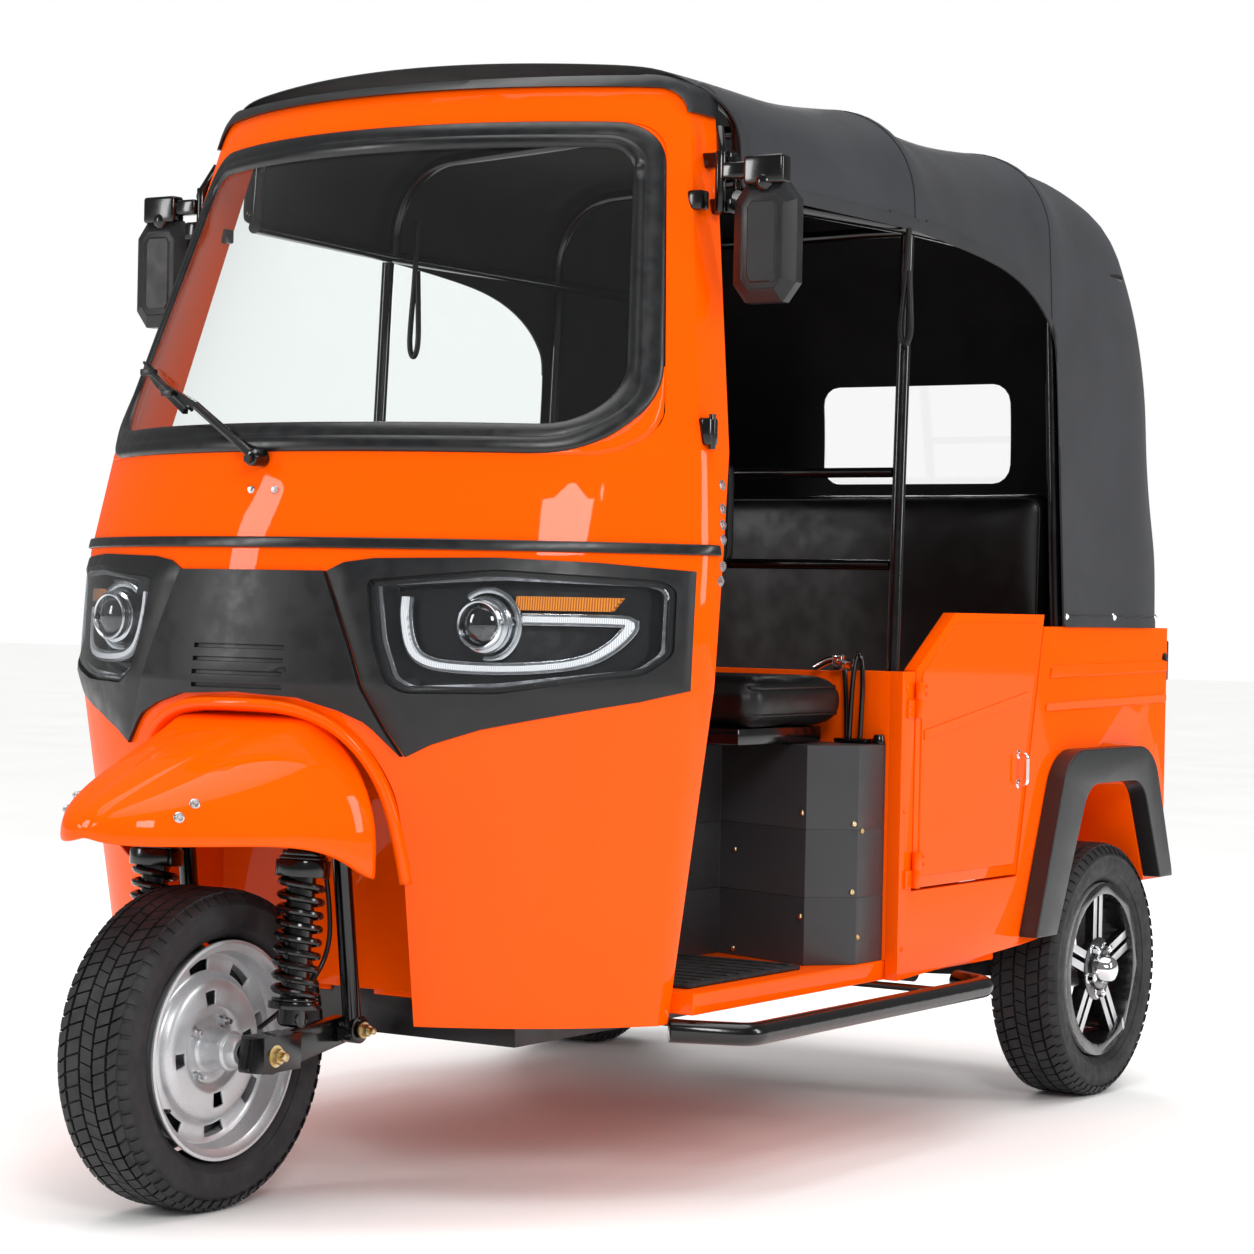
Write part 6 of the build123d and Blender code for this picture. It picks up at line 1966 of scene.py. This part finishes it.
def make_seats(sizes):
    """Driver's pad and backrest, passenger bench and its back."""
    low, high = axle(-548, 765, 752), axle(548, 1128, 836)

    def round_ends(bm):
        for v in bm.verts:
            share = abs(v.co.x) / (548 * MM)
            if share > 0.8 and v.co.y < axle(0, 950, 0).y:
                v.co.y += (share - 0.8) * 150 * MM
    cushion = pad("driver_pad", low, high, 30.0, 6.0, 8.0, 9.0, 5.0, round_ends)
    keep_within(cushion, low, high, 4.0)
    seam_z = axle(0, 0, 818).z

    def dent(co):
        edge = math.exp(-((co.z - seam_z) / (5 * MM)) ** 2)
        return Vector((0, 0, 0)) - Vector((co.x * 0.004 * edge, (co.y - axle(0, 950, 0).y) * 0.02 * edge, 0))
    press(cushion, dent)
    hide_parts("driver_cushion")
    bm = bmesh.new()
    box_mm(bm, (-500, 805, 720), (500, 1095, 750), 6.0, 2)
    piece(bm, "driver_pad_tray", "gloss_black", "body", ())
    piping(cushion, "driver_pad_piping", [axle(-540, 775, 818), axle(540, 775, 818), axle(540, 1122, 818),
                                          axle(-540, 1122, 818)], sizes.piping / MM)
    piping(cushion, "driver_pad_lower_piping", [axle(-540, 775, 772), axle(540, 775, 772), axle(540, 1122, 772),
                                                axle(-540, 1122, 772)], 2.6)

    low, high = axle(-300, 1100, 1028), axle(300, 1147, 1225)
    rest = pad("driver_rest", low, high, 20.0, 4.0, 6.0, 7.0)
    keep_within(rest, low, high, 3.0)
    press(rest, lambda co: Vector())
    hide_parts("driver_backrest")
    piping(rest, "driver_rest_piping", [axle(-292, 1114, 1036), axle(292, 1114, 1036), axle(292, 1114, 1217),
                                        axle(-292, 1114, 1217)], 3.0)

    low, high = axle(-575, 1420, 622), axle(575, 1848, 742)
    bench = pad("bench_pad", low, high, 34.0, 6.0, 10.0, 10.0)
    keep_within(bench, low, high, 4.0)
    press(bench, lambda co: Vector())
    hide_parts("passenger_cushion")
    piping(bench, "bench_piping", [axle(-560, 1432, 726), axle(560, 1432, 726), axle(560, 1836, 726),
                                   axle(-560, 1836, 726)], sizes.piping / MM)

    low, high = axle(-575, 1850, 690), axle(575, 1944, 1205)
    back = pad("bench_back", low, high, 30.0, 6.0, 10.0, 10.0)
    keep_within(back, low, high, 4.0)
    press(back, lambda co: Vector())
    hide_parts("passenger_backrest")
    piping(back, "bench_back_piping", [axle(-560, 1864, 702), axle(560, 1864, 702), axle(560, 1864, 1192),
                                       axle(-560, 1864, 1192)], sizes.piping / MM)


# ------------------------------------------------------------------ cab fittings
def make_cab():
    """Seat box, floor mats, posts, rails, bows, handlebar, levers, speed dial and straps."""
    bm = cad_bmesh("driver_seat_base")
    for z in (452, 571):        # joints between its three mouldings
        for dz in (-1.6, 0.0, 1.6):
            slice_at(bm, (0, 0, (z + dz) * MM), (0, 0, 1))
        ring = [v for v in bm.verts if abs(v.co.z - z * MM) < 0.2 * MM]
        for v in ring:
            flat = v.normal.copy()
            flat.z = 0
            if flat.length > 0.1:
                v.co -= flat.normalized() * 1.8 * MM
    piece(bm, "seat_box", "charcoal_abs", "body", ("driver_seat_base",), 1.2, 2, angle=28,
          recalc=False)
    bolts = bmesh.new()
    # place on the seat box, direction of the face
    for (x, y, z), (nx, ny) in (((352, 1051, 524), (0.34, -0.94)), ((352, 1051, 347), (0.34, -0.94)),
                                ((589, 1056, 581), (0.78, -0.62)), ((594, 1077, 568), (1, 0)),
                                ((588, 1055, 462), (0.78, -0.62)), ((594, 1068, 383), (1, 0)),
                                ((523, 989, 600), (0.34, -0.94)), ((523, 989, 420), (0.34, -0.94))):
        for side in (-1, 1):
            dome(bolts, axle(side * x, y, z), Vector((side * nx, ny, 0)), 5.5 * MM, 4 * MM)
    piece(bolts, "seat_box_bolts", "yellow_zinc", "body", ())
    mats = bmesh.new()
    for side in (-1, 1):
        box_mm(mats, (side * 250, 560, 335.3), (side * 560, 930, 343), 3.0, 2)
        for i in range(9):
            y = 580 + i * 41
            box_mm(mats, (side * 262, y, 342), (side * 548, y + 14, 345.5), 1.2, 1)
    box_mm(mats, (-540, 1250, 335.3), (540, 1410, 342), 3.0, 2)
    piece(mats, "floor_mats", "floor_mat", "body", ())
    dressed("passenger_seat_box", "moulded_black", 2.0)
    for node in ("pillar_posts", "roof_side_rails", "partition_rails"):
        finish_node(node, "gloss_black")
    bows = dressed("roof_bows", "gloss_black", 0.0, angle=60)
    for v in bows.data.vertices:        # the bows lie close under the canvas, the last one lowest
        y = (v.co.y - AXLE_Y) / MM
        if y < 1000 and v.co.z > 1.78:
            v.co.z -= 16 * MM * max(0.0, 1 - (v.co.x / 0.524) ** 2)
        elif y > 1000:
            rear = y > 2000
            share = min(1.0, max(0.0, (v.co.z - (1.25 if rear else 1.5)) / (0.3 if rear else 0.15)))
            v.co.x *= 1 - (0.056 if rear else 0.022) * share
            v.co.z -= (58 if rear else 10) * MM * share
    dressed("dashboard", "moulded_black", 3.0)
    dressed("handlebar", "moulded_black", 2.0, body="steering")
    bm = bmesh.new()
    for side in (-1, 1):
        grip = axle(side * 205, 452, 1024)
        tip = axle(side * 305, 400, 1020)
        merge(bm, tube_along([grip, axle(side * 235, 410, 1026), axle(side * 280, 398, 1022), tip], 4 * MM))
        ball(bm, tip, 7 * MM, 14, 10)
    piece(bm, "hand_levers", "gloss_black", "steering", ())
    bm = bmesh.new()
    merge(bm, turned(((0, 0.01), (0, 48), (6, 52), (16, 52), (18, 47), (15, 45), (14, 0.01)),
                     axle(0, 389, 1086), (0, 0.35, 0.94)))
    piece(bm, "speed_dial", "gloss_black", "steering", ())

    bm = bmesh.new()
    for points in (((530, 1140, 722), (533, 1140, 800), (538, 1140, 856), (545, 1140, 880), (553, 1140, 868),
                    (556, 1140, 820), (553, 1140, 760), (552, 1140, 722)),
                   ((520, 1150, 722), (519, 1150, 790), (512, 1150, 852))):
        merge(bm, tube_along([axle(*p) for p in points], 4.5 * MM))
    cylinder(bm, axle(585, 1150, 719), axle(585, 1150, 735), 12 * MM, 24, 9 * MM, bevel_mm=1.5)
    box_mm(bm, (505, 1128, 719), (570, 1160, 727), 2.0)
    piece(bm, "parking_lever", "gloss_black", "body", ("brake_lever",), angle=40)
    bm = bmesh.new()
    merge(bm, tube_along([axle(512, 1146, 856), axle(500, 1144, 868), axle(478, 1142, 862), axle(458, 1140, 850)],
                         7 * MM))
    cylinder(bm, axle(512, 1128, 858), axle(512, 1164, 858), 9 * MM, 20, bevel_mm=1.0)
    box_mm(bm, (494, 1136, 846), (514, 1156, 874), 3.0)
    piece(bm, "parking_lever_grip", "chrome", "body", (), angle=40)

    bm = bmesh.new()
    for x, y, top, low in ((-506, 1222, 1705, 1432), (598, 1200, 1636, 1424)):
        deep = top - low
        merge(bm, tube_along([axle(x, y, top), axle(x - 4, y, top - 0.4 * deep), axle(x - 9, y - 4, top - 0.7 * deep),
                              axle(x - 11, y - 6, low + 22), axle(x, y - 7, low), axle(x + 11, y - 6, low + 22),
                              axle(x + 9, y - 4, top - 0.7 * deep), axle(x + 2, y, top - 0.36 * deep)],
                             5.5 * MM))
    piece(bm, "grab_straps", "leatherette", "body", ())

    clips = bmesh.new()
    for side in (-1, 1):
        box_mm(clips, (side * 520, 572, 1600), (side * 548, 598, 1632), 4.0)
        box_mm(clips, (side * 598, 492, 1212), (side * 622, 518, 1256), 4.0)
        cylinder(clips, axle(side * 618, 505, 1262), axle(side * 618, 505, 1206), 6 * MM, 16, bevel_mm=1.0)
    piece(clips, "side_curtain_clips", "gloss_black", "body", (), angle=40)


def make_chassis():
    """Frame, engine and trailing arms under the floor."""
    dressed("underframe", "chassis_black", 2.0)
    dressed("rear_arms", "chassis_black", 2.0)
    dressed("engine_block", "cast_metal", 6.0, 3)
    bm = bmesh.new()
    for i in range(9):
        z = 330 + i * 28
        box_mm(bm, (-238, 1726, z), (238, 2124, z + 8), 2.0, 1)
    cylinder(bm, axle(-180, 2120, 330), axle(180, 2120, 330), 60 * MM, 40, bevel_mm=4.0)
    piece(bm, "engine_fins", "cast_metal", "body", (), angle=40)


# ------------------------------------------------------------------ add-on
class RickshawSizes(bpy.types.PropertyGroup):
    """Sizes and light levels that a user would change."""
    floor_half: bpy.props.FloatProperty(
        name="Floor half width", description="Half the width of the studio floor", default=40.0, min=4.0,
        unit="LENGTH", subtype="DISTANCE")
    surround_light: bpy.props.FloatProperty(
        name="Surround light", description="Share of the white surround's full strength", default=1.0, min=0.0,
        subtype="FACTOR")
    lamp_light: bpy.props.FloatProperty(
        name="Lamp light", description="Share of the lamps' full power", default=1.0, min=0.0,
        subtype="FACTOR")
    canopy_sag: bpy.props.FloatProperty(
        name="Canopy sag", description="How far the canvas hangs between two bows", default=0.012, min=0.0,
        unit="LENGTH", subtype="DISTANCE")
    piping: bpy.props.FloatProperty(
        name="Seat piping", description="Radius of the sewn piping on the seats", default=0.0034, min=0.0005,
        unit="LENGTH", subtype="DISTANCE")


class RickshawColours(bpy.types.PropertyGroup):
    """Colours that a user would change."""
    paint: bpy.props.FloatVectorProperty(
        name="Body paint", description="Enamel of the cowl, fender, panels and doors",
        default=linear(PAINT)[:3], subtype="COLOR", min=0.0, max=1.0)
    canvas: bpy.props.FloatVectorProperty(
        name="Canvas", description="Outside of the canopy", default=linear(CANVAS)[:3], subtype="COLOR",
        min=0.0, max=1.0)
    moulding: bpy.props.FloatVectorProperty(
        name="Mouldings", description="Grained plastic of the fascia, seat box and mirrors",
        default=linear(MOULDING)[:3], subtype="COLOR", min=0.0, max=1.0)


class RICKSHAW_OT_stage(bpy.types.Operator):
    """Pale floor, soft lamps and the camera."""
    bl_idname = "rickshaw.stage"
    bl_label = "Studio"

    def execute(self, context):
        make_stage(context.scene.rickshaw_sizes)
        return {"FINISHED"}


class RICKSHAW_OT_wheels(bpy.types.Operator):
    """Tyres, the pressed front rim and the cast rear rims."""
    bl_idname = "rickshaw.wheels"
    bl_label = "Wheels"

    def execute(self, context):
        make_wheels()
        return {"FINISHED"}


class RICKSHAW_OT_cowl(bpy.types.Operator):
    """Painted front shell, its trim strip and bolts."""
    bl_idname = "rickshaw.cowl"
    bl_label = "Front cowl"

    def execute(self, context):
        make_cowl()
        return {"FINISHED"}


class RICKSHAW_OT_fascia(bpy.types.Operator):
    """Grained centre panel and both lamp surrounds."""
    bl_idname = "rickshaw.fascia"
    bl_label = "Fascia"

    def execute(self, context):
        make_fascia()
        return {"FINISHED"}


class RICKSHAW_OT_headlamps(bpy.types.Operator):
    """Bowls, projectors, light guides, turn lamps and lenses."""
    bl_idname = "rickshaw.headlamps"
    bl_label = "Headlamps"

    def execute(self, context):
        make_headlamps()
        return {"FINISHED"}


class RICKSHAW_OT_fender(bpy.types.Operator):
    """Beak over the front wheel and the lip of its arch."""
    bl_idname = "rickshaw.fender"
    bl_label = "Front fender"

    def execute(self, context):
        make_fender()
        return {"FINISHED"}


class RICKSHAW_OT_fork(bpy.types.Operator):
    """Fork legs, links, dampers and springs."""
    bl_idname = "rickshaw.fork"
    bl_label = "Fork"

    def execute(self, context):
        make_fork()
        return {"FINISHED"}


class RICKSHAW_OT_windscreen(bpy.types.Operator):
    """Glass, rubber seal, wiper and roof visor."""
    bl_idname = "rickshaw.windscreen"
    bl_label = "Windscreen"

    def execute(self, context):
        make_windscreen()
        return {"FINISHED"}


class RICKSHAW_OT_mirrors(bpy.types.Operator):
    """Two octagonal mirrors on stubby arms."""
    bl_idname = "rickshaw.mirrors"
    bl_label = "Mirrors"

    def execute(self, context):
        make_mirrors()
        return {"FINISHED"}


class RICKSHAW_OT_body(bpy.types.Operator):
    """Side panels, doors, hinges, rear panel, lid and floor."""
    bl_idname = "rickshaw.body"
    bl_label = "Body panels"

    def execute(self, context):
        make_body()
        return {"FINISHED"}


class RICKSHAW_OT_flares(bpy.types.Operator):
    """Wheel flares, foot rails, bumper and tail lamps."""
    bl_idname = "rickshaw.flares"
    bl_label = "Flares and rails"

    def execute(self, context):
        make_flares()
        return {"FINISHED"}


class RICKSHAW_OT_canopy(bpy.types.Operator):
    """Stretched canvas with its bindings, seams, snaps and rear window."""
    bl_idname = "rickshaw.canopy"
    bl_label = "Canopy"

    def execute(self, context):
        make_canopy()
        return {"FINISHED"}


class RICKSHAW_OT_seats(bpy.types.Operator):
    """Driver's pad and backrest, passenger bench and back."""
    bl_idname = "rickshaw.seats"
    bl_label = "Seats"

    def execute(self, context):
        make_seats(context.scene.rickshaw_sizes)
        return {"FINISHED"}


class RICKSHAW_OT_cab(bpy.types.Operator):
    """Seat box, mats, posts, rails, bows, handlebar, levers, speed dial and straps."""
    bl_idname = "rickshaw.cab"
    bl_label = "Cab fittings"

    def execute(self, context):
        make_cab()
        return {"FINISHED"}


class RICKSHAW_OT_chassis(bpy.types.Operator):
    """Frame, engine and trailing arms."""
    bl_idname = "rickshaw.chassis"
    bl_label = "Chassis"

    def execute(self, context):
        make_chassis()
        return {"FINISHED"}


# in the order in which main calls them
STEPS = (RICKSHAW_OT_stage, RICKSHAW_OT_wheels, RICKSHAW_OT_cowl, RICKSHAW_OT_fascia, RICKSHAW_OT_headlamps,
         RICKSHAW_OT_fender, RICKSHAW_OT_fork, RICKSHAW_OT_windscreen, RICKSHAW_OT_mirrors, RICKSHAW_OT_body,
         RICKSHAW_OT_flares, RICKSHAW_OT_canopy, RICKSHAW_OT_seats, RICKSHAW_OT_cab, RICKSHAW_OT_chassis)


class RICKSHAW_PT_panel(bpy.types.Panel):
    """Sizes, colours and one button for each group of pieces."""
    bl_idname = "RICKSHAW_PT_panel"
    bl_label = "Auto rickshaw"
    bl_space_type = "VIEW_3D"
    bl_region_type = "UI"
    bl_category = "Rickshaw"

    def draw(self, context):
        for group in (context.scene.rickshaw_sizes, context.scene.rickshaw_colours):
            box = self.layout.box()
            for name in group.bl_rna.properties.keys():
                if name not in ("rna_type", "name"):
                    box.prop(group, name)
        column = self.layout.column(align=True)
        for step in STEPS:
            column.operator(step.bl_idname)


CLASSES = (RickshawSizes, RickshawColours, *STEPS, RICKSHAW_PT_panel)


def register():
    for cls in CLASSES:
        bpy.utils.register_class(cls)
    bpy.types.Scene.rickshaw_sizes = bpy.props.PointerProperty(type=RickshawSizes)
    bpy.types.Scene.rickshaw_colours = bpy.props.PointerProperty(type=RickshawColours)


def unregister():
    del bpy.types.Scene.rickshaw_colours
    del bpy.types.Scene.rickshaw_sizes
    for cls in reversed(CLASSES):
        bpy.utils.unregister_class(cls)


def main():
    """Registers the add-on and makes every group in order."""
    register()
    for step in STEPS:
        group, name = step.bl_idname.split(".")
        if getattr(getattr(bpy.ops, group), name)() != {"FINISHED"}:
            raise RuntimeError("step not finished: " + step.bl_idname)


if __name__ == "__main__":
    main()
